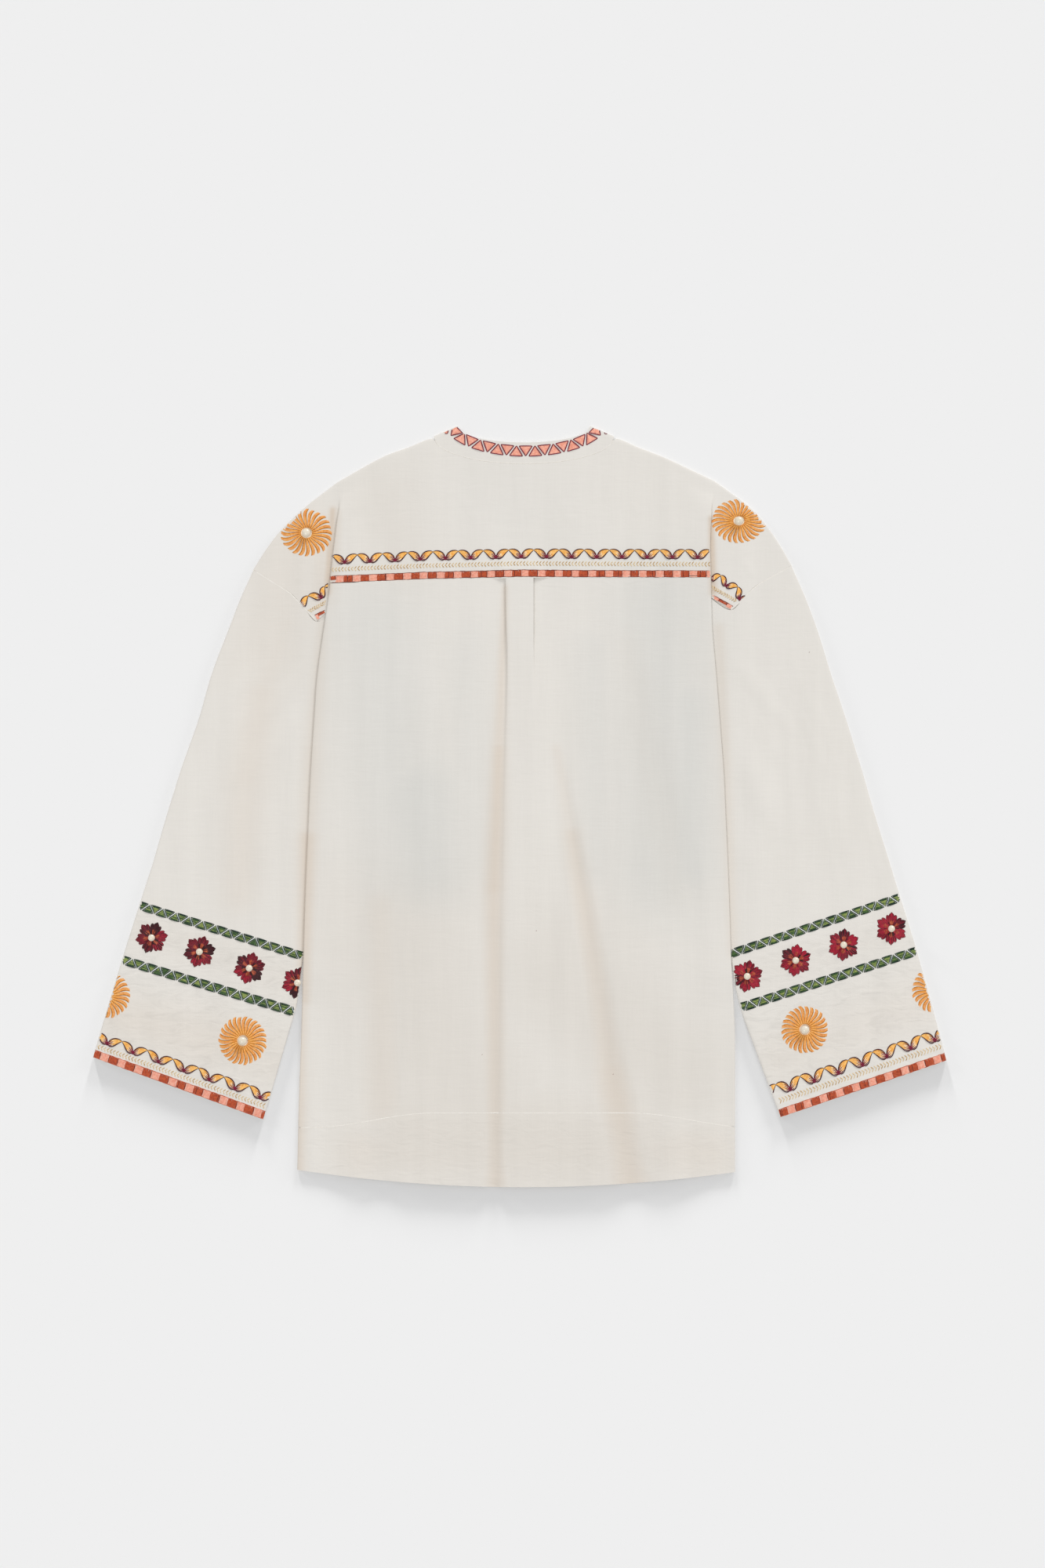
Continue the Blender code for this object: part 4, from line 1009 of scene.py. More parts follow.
def yoke_row(share):
    """One row of the yoke, from the left armhole to the right one."""
    halves = {}
    for side in ("left", "right"):
        path, rise = tuck_fold(side, share)
        turn_in = inward(side)
        row = shoulder_patch(side, share, path[0])
        for x, z in path:
            row.append((x, mix(seam_y(x) + GAP, top_edge(x)[0].y, share), z))
        knee = max(path, key=lambda point: turn_in * point[0])[0]
        for ramp in RAMP:
            x = knee + turn_in * ramp.distance
            y = mix(seam_y(x) + GAP, top_edge(x)[0].y, share)
            row.append((x, y, level(2) + rise * ramp.height))
        halves[side] = row
    ribs = []
    for rib in yoke_ribs():
        x = mix(rib.foot, rib.top, share)
        top = top_edge(rib.top)[0]
        bump = PLEAT_BUMP["height"] * ease((PLEAT_BUMP["half"] - abs(x)) / PLEAT_BUMP["side"])
        bump *= ease(1 - share / PLEAT_BUMP["up"])
        ribs.append((x, mix(seam_y(rib.foot) + GAP, top.y, share), level(2) + bump))
    return halves["left"] + ribs + halves["right"][::-1]


def make_yoke():
    """Yoke, turned over its top edge to the front but cut open round the neck."""
    net = [yoke_row(share) for share in YOKE_ROWS]
    top = net[-1]
    last_row = len(net) - 1
    for step in range(1, BEND_STEPS + 2):
        row = []
        for x, y, z in top:
            radius = (z - level(1)) / 2
            angle = math.pi * min(step, BEND_STEPS) / BEND_STEPS
            out = top_edge(x)[1] * radius * math.sin(angle)
            height = level(1) + radius * (1 + math.cos(angle))
            back = turn_under(x) * (YOKE_RETURN if step > BEND_STEPS else 0.0)
            row.append((x + out.x + back.x, y + out.y + back.y, height))
        net.append(row)
    neck = [number for number, point in enumerate(top) if on_neck(point[0])]

    def over_neck(row, column):
        return row >= last_row and neck[0] - 1 <= column < neck[-1] + 1

    def lift(point, row, column):
        if row >= last_row:
            return 0.0
        up = lie(point.x, point.y) + crease_lift(YOKE_CREASES, point.x, point.y)
        return max(up * ease(last_row - row) * ease(row), -0.2)

    cloth("yoke", net, step=2.8,
          without=over_neck, lift=lift)


make_yoke()


# Neckband
# A narrow band of doubled cotton round the neck. Its back half lies on top with the worked
# side up, it turns over at both shoulder points, and the front half lies on the floor below.

SLIT_WIDTH = 1.0


def across_band(angle, dip, height):
    """Points across the band at an angle round the neck."""
    outer = ellipse(BAND_OUTER, angle, dip)
    inner = ellipse(BAND_INNER, angle, dip)
    return [tuple(outer.lerp(inner, share)) + (height,) for share in (0.0, 0.5, 1.0)]


def band_turn(side, angle_round):
    """Columns of the band where it turns over at a shoulder point; side -1 is the left one."""
    low = across_band(angle_round, "back", level(1))
    fold_line = Vector(low[-1][:2]) - Vector(low[0][:2])
    out = Vector((fold_line.y * side, fold_line.x * -side)).normalized()
    columns = []
    for step in range(1, BEND_STEPS):
        angle = math.pi * step / BEND_STEPS
        lean = out * BEND * math.sin(angle)
        height = level(1) + BEND * (1 - math.cos(angle))
        columns.append([(x + lean.x, y + lean.y, height) for x, y, _ in low])
    return columns if side < 0 else columns[::-1]


def make_neckband():
    """Band from one side of the front slit, round the back of the neck, to the other side."""
    half_steps = NECK_STEPS // 2
    half_turn = math.pi / 2 - (SLIT_WIDTH / 2) / BAND_INNER["half"]
    columns = []
    for step in range(half_steps + 1):
        angle = half_turn - half_turn * step / half_steps
        columns.append(across_band(angle, "front", level(1)))
    columns += band_turn(-1, 0.0)
    for step in range(NECK_STEPS + 1):
        columns.append(across_band(math.pi * step / NECK_STEPS, "back", level(2)))
    columns += band_turn(1, math.pi)
    for step in range(half_steps + 1):
        angle = math.pi - half_turn * step / half_steps
        columns.append(across_band(angle, "front", level(1)))
    net = [list(row) for row in zip(*columns)]
    cloth("neckband", net, step=2.5)


make_neckband()


# Embroidery thread
# Stranded viscose thread, spun loosely and worked by machine in satin stitch. Each strand is a
# slim, silky tube set a little into the cloth; it gives the eye fine bright ridges side by side.
# The real strands are 0.4 mm; they are drawn twice as thick so that they show.

STRAND = 0.85


def silky_thread(name, deep, pale, roughness=0.42):
    """Thread whose strands run from a deep to a pale tone of its colour."""
    material = bpy.data.materials.new(name)
    material.use_nodes = True
    tree = material.node_tree
    shader = tree.nodes["Principled BSDF"]
    shader.inputs["Roughness"].default_value = roughness
    shader.inputs["Specular IOR Level"].default_value = 0.3
    shader.inputs["Sheen Weight"].default_value = 0.1
    place = add_node(tree, "ShaderNodeTexCoord").outputs["Object"]
    strands = add_node(tree, "ShaderNodeTexNoise",
                       {"Vector": place, "Scale": per_mm(1.8), "Detail": 1.0})
    blend = add_node(tree, "ShaderNodeMapRange",
                     {"Value": strands.outputs["Fac"], "From Min": 0.32, "From Max": 0.68})
    colour = add_node(tree, "ShaderNodeMix",
                      {"Factor": blend.outputs["Result"], 6: linear(deep), 7: linear(pale)},
                      data_type="RGBA")
    tree.links.new(colour.outputs[2], shader.inputs["Base Color"])
    return material


THREADS = {
    "rust": silky_thread("rust_thread", "AE4A2C", "CC6038"),
    "dark_rust": silky_thread("dark_rust_thread", "6E2A1D", "8A3826"),
    "salmon": silky_thread("salmon_thread", "F5A78E", "FFC4AE"),
    "maroon": silky_thread("maroon_thread", "6A0C2A", "8C183C"),
    "plum": silky_thread("plum_thread", "3C0E1C", "56182A"),
    "marigold": silky_thread("marigold_thread", "F6B04C", "FFD080"),
    "butter": silky_thread("butter_thread", "F8E6C4", "FFF4E0"),
    "beige": silky_thread("beige_thread", "DCC090", "ECD6AC"),
    "fawn": silky_thread("fawn_thread", "BE9A60", "D2B07C"),
    "olive": silky_thread("olive_thread", "7D9048", "A3B064"),
    "forest": silky_thread("forest_thread", "34502C", "50703A"),
    "deep_green": silky_thread("deep_green_thread", "12281E", "223F30"),
    "ice": silky_thread("ice_thread", "E4EDEC", "F5F7F5"),
    "mist": silky_thread("mist_thread", "C2D2D4", "DCE6E6"),
    "crimson": silky_thread("crimson_thread", "92122A", "B41C38"),
    "wine": silky_thread("wine_thread", "660E20", "82182A"),
    "oxblood": silky_thread("oxblood_thread", "300A12", "48121A"),
    "brick": silky_thread("brick_thread", "A03E28", "C86844"),
    "gold": silky_thread("gold_thread", "F0A23C", "FABC5C"),
    "peach": silky_thread("peach_thread", "EFA272", "F8BC90"),
    "ochre": silky_thread("ochre_thread", "B46C1E", "CE8830"),
    "sewing": silky_thread("ivory_sewing_thread", "DDD6C9", "EAE5DB", 0.7),
    # Seam ridges a shade lighter than the cloth: a painted highlight along them
    "seam": silky_thread("ivory_seam_edge", "E6E1D9", "EEEAE3", 0.85),
}

Thread = namedtuple("Thread", "points width colour rise tip", defaults=[1.0])
chance = random.Random(18)


def straight_stitch(a, b, width, colour, rise, cuts=2):
    """One stitch between two places, raised a little in its middle."""
    points = [(mix(a[0], b[0], step / cuts), mix(a[1], b[1], step / cuts))
              for step in range(cuts + 1)]
    return Thread(points, width, colour, rise)


def height_on(beds, x, y, reach=0.0):
    """Height of the topmost bed of cloth at a place or within reach, or None beyond them."""
    for out_x, out_y in ((0, 0), (reach, 0), (-reach, 0), (0, reach), (0, -reach)):
        found = []
        for bed in beds:
            above = Vector((x + out_x, y + out_y, 50.0)) * MM
            place = BEDS[bed].ray_cast(above, Vector((0.0, 0.0, -1.0)))[0]
            if place is not None:
                found.append(place.z / MM + CLOTH / 2)
        if found:
            return max(found)
    return None


def embroider(name, threads, beds, node=None, keep=None, sunk=0.1, reach=0.0, rounding=0):
    """Object of threads, each laid on its beds of cloth; keep says where they may show."""
    curve = bpy.data.curves.new(name, "CURVE")
    curve.dimensions = "3D"
    curve.bevel_depth = MM
    curve.bevel_resolution = rounding
    curve.use_fill_caps = True
    curve.render_resolution_u = 0
    colours = sorted({thread.colour for thread in threads})
    for colour in colours:
        curve.materials.append(THREADS[colour])
    for thread in threads:
        last = len(thread.points) - 1
        laid = []
        for number, (x, y) in enumerate(thread.points):
            if keep and not keep(x, y):
                continue
            height = height_on(beds, x, y, reach)
            if height is not None:
                up = thread.rise * math.sin(math.pi * number / last)
                end = 0.72 if number in (0, last) else 1.0
                radius = thread.width / 2 * end * mix(1.0, thread.tip, number / last)
                laid.append((x, y, height - sunk + up, radius))
        if len(laid) < 2:
            continue
        spline = curve.splines.new("POLY")
        spline.points.add(len(laid) - 1)
        for point, (x, y, z, radius) in zip(spline.points, laid):
            point.co = (x * MM, y * MM, z * MM, 1.0)
            point.radius = radius
        spline.material_index = colours.index(thread.colour)
        spline.use_smooth = True
    drawn = bpy.data.objects.new(name + "_curve", curve)
    mesh = bpy.data.meshes.new_from_object(drawn)
    bpy.data.objects.remove(drawn)
    mesh.name = name
    piece = bpy.data.objects.new(name, mesh)
    bpy.context.scene.collection.objects.link(piece)
    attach(piece, "root")
    if node:
        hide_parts(node)


# Seams and topstitching
# The seams at the armholes, hem band, yoke and neckband are pressed into soft ridges, their thread a
# shade lighter than the cloth as a painted highlight.
# Fine ivory stitches run beside the first two and above the hem's edge.

SEWING = {"stitch": 2.4, "pitch": 3.2, "width": 0.45, "rise": 0.45}
RIDGE_STEP = 5.0


def line_length(line):
    """Length of a line through points."""
    return sum((b - a).length for a, b in zip(line, line[1:]))


def ridge_line(points, width):
    """Seam edge along a line through points."""
    line = [Vector(p) for p in points]
    count = max(2, int(line_length(line) / RIDGE_STEP))
    places = [walk(line, step / count) for step in range(count + 1)]
    return Thread([(p.x, p.y) for p in places], width, "seam", 0.0)


def running_stitch(points):
    """Row of short sewing stitches along a line through points."""
    line = [Vector(p) for p in points]
    length = line_length(line)
    rows = []
    for number in range(int(length / SEWING["pitch"])):
        start = number * SEWING["pitch"]
        a = walk(line, start / length)
        b = walk(line, (start + SEWING["stitch"]) / length)
        rows.append(straight_stitch(a, b, SEWING["width"], "sewing", SEWING["rise"], 3))
    return rows


for side in ("left", "right"):
    seam = [tuple(point) for point in ARMHOLE[side][:YOKE_CORNER + 1]]
    inside = shifted(seam, -2.2 * inward(side))
    rows = [ridge_line(seam, 2.2)] + running_stitch(inside)
    embroider("armhole_seam_" + side, rows, ["yoke", "sleeve_" + side],
              sunk=0.95, reach=1.3, rounding=2)

hem_ends = [read(BODY_EDGE, side, HEM_SEAM_Y) for side in ("left", "right")]
hem_line = [(x, hem_seam_y(x) - GAP / 2)
            for x in [mix(hem_ends[0] + 2.5, hem_ends[1] - 2.5, n / 60) for n in range(61)]]
rows = [ridge_line(hem_line, 1.6)] + running_stitch([(x, y - 2.0) for x, y in hem_line])
rows += running_stitch([(x, hem_y(x) + 9.0) for x, _ in hem_line])
embroider("hem_stitching", rows, ["back_panel", "hem_band_back"], sunk=0.66,
          reach=0.8, rounding=2)
yoke_line = [(x, seam_y(x) + GAP / 2) for x in [mix(-178.5, 181.0, n / 60) for n in range(61)]]
embroider("yoke_seam", [ridge_line(yoke_line, 1.6)], ["back_panel", "yoke"],
          sunk=0.66, reach=0.8, rounding=2)
neck_line = [tuple(ellipse(BAND_OUTER, math.pi * (0.04 + 0.92 * n / 40), "back"))
             for n in range(41)]
embroider("neckband_seam", [ridge_line(neck_line, 1.7)], ["yoke", "neckband"],
          sunk=0.74, reach=0.8, rounding=2)


# Husk flecks
# A few specks of cotton husk, spun into the yarn, show as tiny brown marks in the cloth.

FLECKS = [(15.8, -118.9), (89.3, -256.1), (-36.0, -237.4), (276.8, 147.4)]
rows = [straight_stitch((x - 0.5, y - 0.4), (x + 0.5, y + 0.4), 0.9, "dark_rust", 0.0)
        for x, y in FLECKS]
embroider("husk_flecks", rows, ["back_panel", "sleeve_right"], sunk=0.25)


# Checked satin strip
# A narrow strip of satin stitch, rust blocks worked across and salmon blocks worked along it,
# between two thin cords. It runs along the yoke's seam, on to both shoulders, and along the cuffs.

# Ends, height, width of a rust and a salmon block together, and where one salmon block starts
Strip = namedtuple("Strip", "start end height pair salmon_from cord")
SALMON_SHARE = 0.46
CORD_STEP = 2.5


def rust_blocks(place, strip):
    """Stitches across a strip wherever it has no salmon block."""
    rows = []
    u = strip.start + STRAND / 2
    while u < strip.end:
        share = ((u - strip.salmon_from) / strip.pair) % 1.0
        if share >= SALMON_SHARE:
            lean = chance.uniform(-0.25, 0.25)
            dark = share > 0.96
            colour = "dark_rust" if dark or chance.random() < 0.06 else "rust"
            rows.append(straight_stitch(place(u, 0.4), place(u + lean, strip.height - 0.2),
                                        STRAND * 1.2, colour, 0.35))
        u += STRAND * 0.8
    return rows


def salmon_blocks(place, strip):
    """Stitches laid along a strip, side by side, in each of its salmon blocks."""
    rows = []
    block = math.floor((strip.start - strip.salmon_from) / strip.pair)
    lines = round((strip.height - 0.9) / (STRAND * 0.85))
    while strip.salmon_from + block * strip.pair < strip.end:
        low = max(strip.salmon_from + block * strip.pair, strip.start)
        high = min(strip.salmon_from + (block + SALMON_SHARE) * strip.pair, strip.end)
        if high - low > 1.0:
            for line in range(lines):
                v = 0.75 + (strip.height - 1.5) * line / (lines - 1)
                a = place(low - chance.uniform(0.0, 0.5), v)
                b = place(high + chance.uniform(0.0, 0.5), v)
                rows.append(straight_stitch(a, b, STRAND * 1.05, "salmon", 0.3, 3))
        block += 1
    return rows


def check_strip(place, strip):
    """Threads of a checked strip, with a cord along each of its edges."""
    rows = rust_blocks(place, strip) + salmon_blocks(place, strip)
    steps = max(2, int((strip.end - strip.start) / CORD_STEP))
    for edge in (0.5, strip.height - 0.25):
        line = [place(mix(strip.start, strip.end, step / steps), edge + chance.uniform(-0.22, 0.22))
                for step in range(steps + 1)]
        rows.append(Thread(line, 0.7, strip.cord, 0.25))
    return rows


Foot = namedtuple("Foot", "x y")
STRIP_FOOT = [Foot(-181, 213.4), Foot(-90, 217.4), Foot(3, 219.4), Foot(183, 218.6)]


def on_yoke(u, v):
    """Place on the yoke by its distance across and up from the strip's lower edge."""
    return (u, read(STRIP_FOOT, "y", u) + v)


def on_cuff(side):
    """Way to find a place on a sleeve by its distance from the outer edge and from the cuff."""
    def place(u, v):
        outer, inner = sleeve_end(side, v)
        spot = outer.lerp(inner, u / (inner - outer).length)
        return (spot.x, spot.y)
    return place


def on_line(points, aside=1):
    """Way to find a place by its distance along a line and to its left, or right with -1."""
    line = [Vector(point) for point in points]

    def place(u, v):
        for a, b in zip(line, line[1:]):
            run = b - a
            if u <= run.length or b is line[-1]:
                break
            u -= run.length
        way = run.normalized()
        return (a.x + way.x * u - way.y * v * aside, a.y + way.y * u + way.x * v * aside)
    return place


def on_shoulder(side):
    """Test of whether a place is on the part of a shoulder that shows beside the body's fold."""
    turn_in = inward(side)
    corner, bend, tip = (Vector(ARMHOLE[side][n]) for n in (2, 1, 0))

    def keep(x, y):
        if (read(BODY_EDGE, side, y) - x) * turn_in < 0.6:
            return False
        for a, b in ((corner, bend), (bend, tip)):
            run = b - a
            aside = (run.x * (y - a.y) - run.y * (x - a.x)) / run.length * turn_in
            if aside > -0.4 and min(a.x, b.x) - 0.1 <= x <= max(a.x, b.x) + 0.1:
                return False
        return True
    return keep


CUFF_WIDTH = {side: (sleeve_end(side, 0)[1] - sleeve_end(side, 0)[0]).length
              for side in ("left", "right")}
YOKE_STRIP = Strip(-181.5, 182.0, 6.8, 16.1, -79.3, "dark_rust")
CUFF_STRIP = {"left": Strip(-0.6, CUFF_WIDTH["left"] + 0.6, 7.6, 17.3, 5.7, "rust"),
              "right": Strip(-0.6, CUFF_WIDTH["right"] + 0.6, 7.6, 16.35, 3.8, "rust")}
SHOULDER_STRIP = {"left": Strip(-4.5, 22.0, 5.6, 16.0, -3.8, "dark_rust"),
                  "right": Strip(-4.5, 22.0, 5.6, 16.0, -3.0, "dark_rust")}
SHOULDER_CHECK = {"left": on_line([(-194.3, 177.7), (-185.5, 182.3)]),
                  "right": on_line([(199.9, 187.6), (184.6, 196.0)], -1)}
embroider("thread_yoke_check", check_strip(on_yoke, YOKE_STRIP), ["yoke", "back_panel"],
          "yoke_check_strip", reach=1.0)
for side in ("left", "right"):
    embroider("thread_cuff_check_" + side, check_strip(on_cuff(side), CUFF_STRIP[side]),
              ["sleeve_" + side], "cuff_check_" + side, reach=0.6)
for side in ("left", "right"):
    embroider("thread_shoulder_check_" + side,
              check_strip(SHOULDER_CHECK[side], SHOULDER_STRIP[side]),
              ["yoke"], keep=on_shoulder(side))


# Leaf vine
# Pairs of almond leaves meet at their feet like wings and touch the next pair at their tips.
# Each is filled with marigold and butter-coloured thread, outlined in plum, with maroon stitches
# fanned up into it from the joint.

# Upper and lower edge of a leaf from its foot to its tip, from the joint along and up
Outline = namedtuple("Outline", "upper_u upper_v lower_u lower_v")
LEAF = [
    Outline(0.3, 1.5, 0.5, 0.2),
    Outline(1.3, 4.2, 2.6, -0.7),
    Outline(3.2, 6.4, 5.0, 0.1),
    Outline(6.0, 7.9, 7.4, 2.4),
    Outline(9.2, 8.2, 9.6, 5.2),
    Outline(12.0, 7.4, 12.0, 7.4),
]
LEAF_REACH = 12.0
# Places of the threads of a leaf, as shares of the way across it from its upper edge
LEAF_FILL = (0.12, 0.26, 0.4, 0.54, 0.68, 0.82)
LEAF_FAN = (0.18, 0.4, 0.62, 0.84)
LEAF_EDGES = (-0.02, 1.02)
# Places of the short stitches that cover a joint, along the vine
KNOT = (-2.1, -1.4, -0.7, 0.0, 0.7, 1.4, 2.1)


def leaf_line(place, joint, way, scale, share, steps=7, end=1.0):
    """Line along a leaf, from its foot towards its tip, at a share of the way across it."""
    coarse = [Vector((mix(row.upper_u, row.lower_u, share), mix(row.upper_v, row.lower_v, share)))
              for row in LEAF]
    line = smooth_line(coarse, [2] * (len(coarse) - 1))
    length = (len(line) - 1) * end
    points = []
    for step in range(steps):
        at = length * step / (steps - 1)
        low = min(int(at), len(line) - 2)
        spot = line[low].lerp(line[low + 1], at - low)
        points.append(place(joint + way * spot.x * scale, spot.y))
    return points


def vine(place, joints):
    """Threads of a vine, with a pair of leaves at each of its joints."""
    rows = []
    for number, joint in enumerate(joints):
        for way in (-1, 1):
            beside = number + way
            if not 0 <= beside < len(joints):
                beside = number - way
            scale = abs(joints[beside] - joint) / 2 / LEAF_REACH
            for share in LEAF_FILL:
                full = leaf_line(place, joint, way, scale, share)
                rows.append(Thread(full, 1.05, "marigold", 0.25))
                foot = leaf_line(place, joint, way, scale, share + 0.05, 5,
                                 chance.uniform(0.48, 0.64))
                rows.append(Thread(foot, 1.1, "butter", 0.45, 0.5))
            for share in LEAF_FAN:
                reach = 0.52 + chance.uniform(-0.07, 0.06)
                fan = leaf_line(place, joint, way, scale, share, 5, reach)
                rows.append(Thread(fan, 1.1, "maroon", 0.8, 0.4))
            for share in LEAF_EDGES:
                edge = leaf_line(place, joint, way, scale, share, 11)
                rows.append(Thread(edge, 1.0, "plum", 0.45))
        for lean in KNOT:
            rows.append(straight_stitch(place(joint + lean, -0.9 + abs(lean) * 0.3),
                                        place(joint + lean * 0.4, 2.7), 1.05, "maroon", 0.6))
    return rows


def raised(place, up, taller=1.0):
    """Way to find a place, with its height stretched and counted from higher up."""
    return lambda u, v: place(u, v * taller + up)


# The right cuff was worked with a taller vine, set higher
CuffVine = namedtuple("CuffVine", "first pitch up taller")
CUFF_VINE = {"left": CuffVine(8.6, 25.85, 16.2, 1.0), "right": CuffVine(4.8, 24.35, 21.0, 1.25)}
SHOULDER_VINE = {"left": on_line([(-208.9, 189.9), (-189.3, 199.3), (-175.5, 208.5)]),
                 "right": on_line([(209.2, 198.4), (196.8, 210.8), (182.0, 216.5)], -1)}
SHOULDER_JOINTS = {"left": [0.0, 21.7, 38.3], "right": [0.0, 17.5, 33.4]}
yoke_joints = [1.3 + 24.1 * number for number in range(-7, 8)]
embroider("yoke_vine", vine(raised(on_yoke, 18.5), yoke_joints), ["yoke"],
          keep=lambda x, y: -181.5 < x < 182.5)
for side in ("left", "right"):
    size = CUFF_VINE[side]
    joints = [size.first + size.pitch * number for number in range(8)]
    embroider("cuff_vine_" + side, vine(raised(on_cuff(side), size.up, size.taller), joints),
              ["sleeve_" + side])
for side in ("left", "right"):
    embroider("shoulder_vine_" + side, vine(SHOULDER_VINE[side], SHOULDER_JOINTS[side]),
              ["yoke"], keep=on_shoulder(side))


# Feather stitch rows
# A light row of paired beige stitches, like an ear of wheat, between the vine and the strip.

def feather_row(place, start, end, half, pitch=3.1):
    """Threads of a row of stitches that lean in pairs off its middle line."""
    rows = []
    u = start
    while u < end:
        for way in (-1, 1):
            tip = place(u + 1.7, way * half * chance.uniform(0.85, 1.1))
            colour = "fawn" if chance.random() < 0.45 else "beige"
            rows.append(straight_stitch(place(u, way * 0.35), tip, 0.9, colour, 0.3))
        rows.append(straight_stitch(place(u - 0.8, 0.0), place(u + 0.5, 0.0), 0.7, "beige", 0.2))
        u += pitch
    return rows


CuffFeather = namedtuple("CuffFeather", "up half")
CUFF_FEATHER = {"left": CuffFeather(11.6, 2.1), "right": CuffFeather(14.9, 2.7)}
embroider("yoke_feather", feather_row(raised(on_yoke, 12.9), -179.5, 181.0, 2.1), ["yoke"])
for side in ("left", "right"):
    size = CUFF_FEATHER[side]
    embroider("cuff_feather_" + side,
              feather_row(raised(on_cuff(side), size.up), 1.0, CUFF_WIDTH[side] - 1.0, size.half),
              ["sleeve_" + side])
SHOULDER_FEATHER = {"left": on_line([(-202.6, 185.9), (-185.0, 195.7)]),
                    "right": on_line([(206.6, 196.7), (184.1, 209.4)])}
for side in ("left", "right"):
    embroider("shoulder_feather_" + side, feather_row(SHOULDER_FEATHER[side], 0.0, 27.0, 1.7, 2.3),
              ["yoke"], keep=on_shoulder(side))


# Triangles of the neckband
# Salmon triangles in satin stitch, point up and point down by turns, each with a maroon
# outline, set along the band's back half.

def filled_triangle(a, b, apex, fill, edge, inset=0.5, cuts=3):
    """Threads that fill a triangle along its base a to b, and its outline."""
    a, b, apex = (Vector(point) for point in (a, b, apex))
    middle = (a + b + apex) / 3
    pull = inset / ((a + b) / 2 - middle).length
    inner = [point.lerp(middle, pull) for point in (a, b, apex)]
    height = ((a + b) / 2 - apex).length
    lines = max(3, round(height / (STRAND * 0.85)))
    rows = []
    for line in range(lines):
        share = (line + 0.3) / lines
        start, end = inner[0].lerp(inner[2], share), inner[1].lerp(inner[2], share)
        rows.append(straight_stitch(start, end, STRAND * 1.05, fill(share), 0.25, cuts))
    for start, end in ((a, b), (b, apex), (apex, a)):
        rows.append(straight_stitch(start, end, 1.0, edge, 0.45, cuts))
    return rows


TRIANGLE = {"pitch": 9.0, "half_base": 6.3, "half_height": 4.8, "count": 8}
# What shows of the last triangle at each end, where the band turns over
TURNED_TRIANGLES = [((-73.6, 357.4), (-69.3, 356.3), (-68.2, 359.6)),
                    ((85.6, 356.6), (81.4, 356.2), (80.6, 358.8))]
TRIANGLE_LINE = {"x": 5.5, "y": 369.8, "half": 74.0, "drop": 30.0}


def neck_row():
    """Fine line that the triangles stand on, from left to right along the neckband."""
    size = TRIANGLE_LINE
    return [Vector((size["x"] - size["half"] * math.cos(math.pi * step / 200),
                    size["y"] - size["drop"] * math.sin(math.pi * step / 200)))
            for step in range(201)]


rows = []
row_line = neck_row()
row_length = line_length(row_line)
for number in range(-TRIANGLE["count"] - 1, TRIANGLE["count"] + 2):
    share = 0.5 + (number * TRIANGLE["pitch"] + 0.2) / row_length
    middle = walk(row_line, share)
    way = (walk(row_line, share + 0.01) - walk(row_line, share - 0.01)).normalized()
    up = Vector((-way.y, way.x)) * TRIANGLE["half_height"] * (1 if number % 2 else -1)
    way *= TRIANGLE["half_base"]
    corners = [tuple(middle - up - way), tuple(middle - up + way), tuple(middle + up)]
    rows += filled_triangle(*corners, fill=lambda share: "salmon", edge="maroon", cuts=10)
for corners in TURNED_TRIANGLES:
    rows += filled_triangle(*corners, fill=lambda share: "salmon", edge="maroon", cuts=2)
embroider("neckband_triangles", rows, ["neckband"])


# Green triangle bands
# Two bands cross each sleeve. Olive and forest triangles stand head to foot between dark green
# edges, with pale thread laid in a zigzag between them.

BAND = {"width": 8.2, "half_pitch": 6.6}
DARK_SHARE = {"left": 0.55, "right": 0.12}


def triangle_band(place, length, dark_share):
    """Threads of a band of green triangles across a sleeve, a share of them mostly forest."""
    rows = []
    top = BAND["width"]
    half = BAND["half_pitch"]
    for number in range(-1, math.ceil(length / half) + 1):
        u = number * half + 2.0
        foot, apex = (0.2, top - 0.4) if number % 2 else (top - 0.2, 0.4)
        light = chance.random()

        def fill(share):
            pick = chance.random()
            if share < 0.15 or pick < 0.18:
                return "forest" if pick < 0.7 else "deep_green"
            return "olive" if pick > (0.35 if light > dark_share else 0.75) else "forest"

        rows += filled_triangle(place(u - half + 1.5, foot), place(u + half - 1.5, foot),
                                place(u, apex), fill, "deep_green", 0.6)
    for number in range(-1, math.ceil(length / half) + 1):
        u = number * half + 2.0 - half / 2
        leans_in = number % 2 == 1
        low, high = (-half / 2, half / 2) if leans_in else (half / 2, -half / 2)
        width, colour = (1.1, "ice") if leans_in else (0.75, "mist")
        rows.append(straight_stitch(place(u + low, 0.5), place(u + high, top - 0.5), width, colour,
                                    0.5, 3))
    return rows


for side in ("left", "right"):
    for name, row in (("lower", 1), ("upper", 2)):
        along = SLEEVE[side][row].along
        place = raised(on_cuff(side), along - BAND["width"] + 0.3)
        outer, inner = sleeve_end(side, along)
        threads = triangle_band(place, (inner - outer).length, DARK_SHARE[side])
        embroider(f"thread_band_{name}_{side}", threads, ["sleeve_" + side],
                  f"green_band_{name}_{side}")


# Six-petal flowers
# Long-and-short stitch in crimson, wine and brick runs out from the middle of each flower.
# Every petal ends in a pointed lobe between two round ones and has a wine edge.

Flower = namedtuple("Flower", "name x y")
FLOWERS = [
    Flower("left_1", -352.0, -125.5),
    Flower("left_2", -306.2, -138.9),
    Flower("left_3", -258.6, -154.6),
    Flower("left_4", -212.5, -168.6),
    Flower("right_1", 217.4, -162.4),
    Flower("right_2", 263.7, -147.2),
    Flower("right_3", 309.6, -132.3),
    Flower("right_4", 355.3, -116.9),
]
FLOWER_RADIUS = 15.2
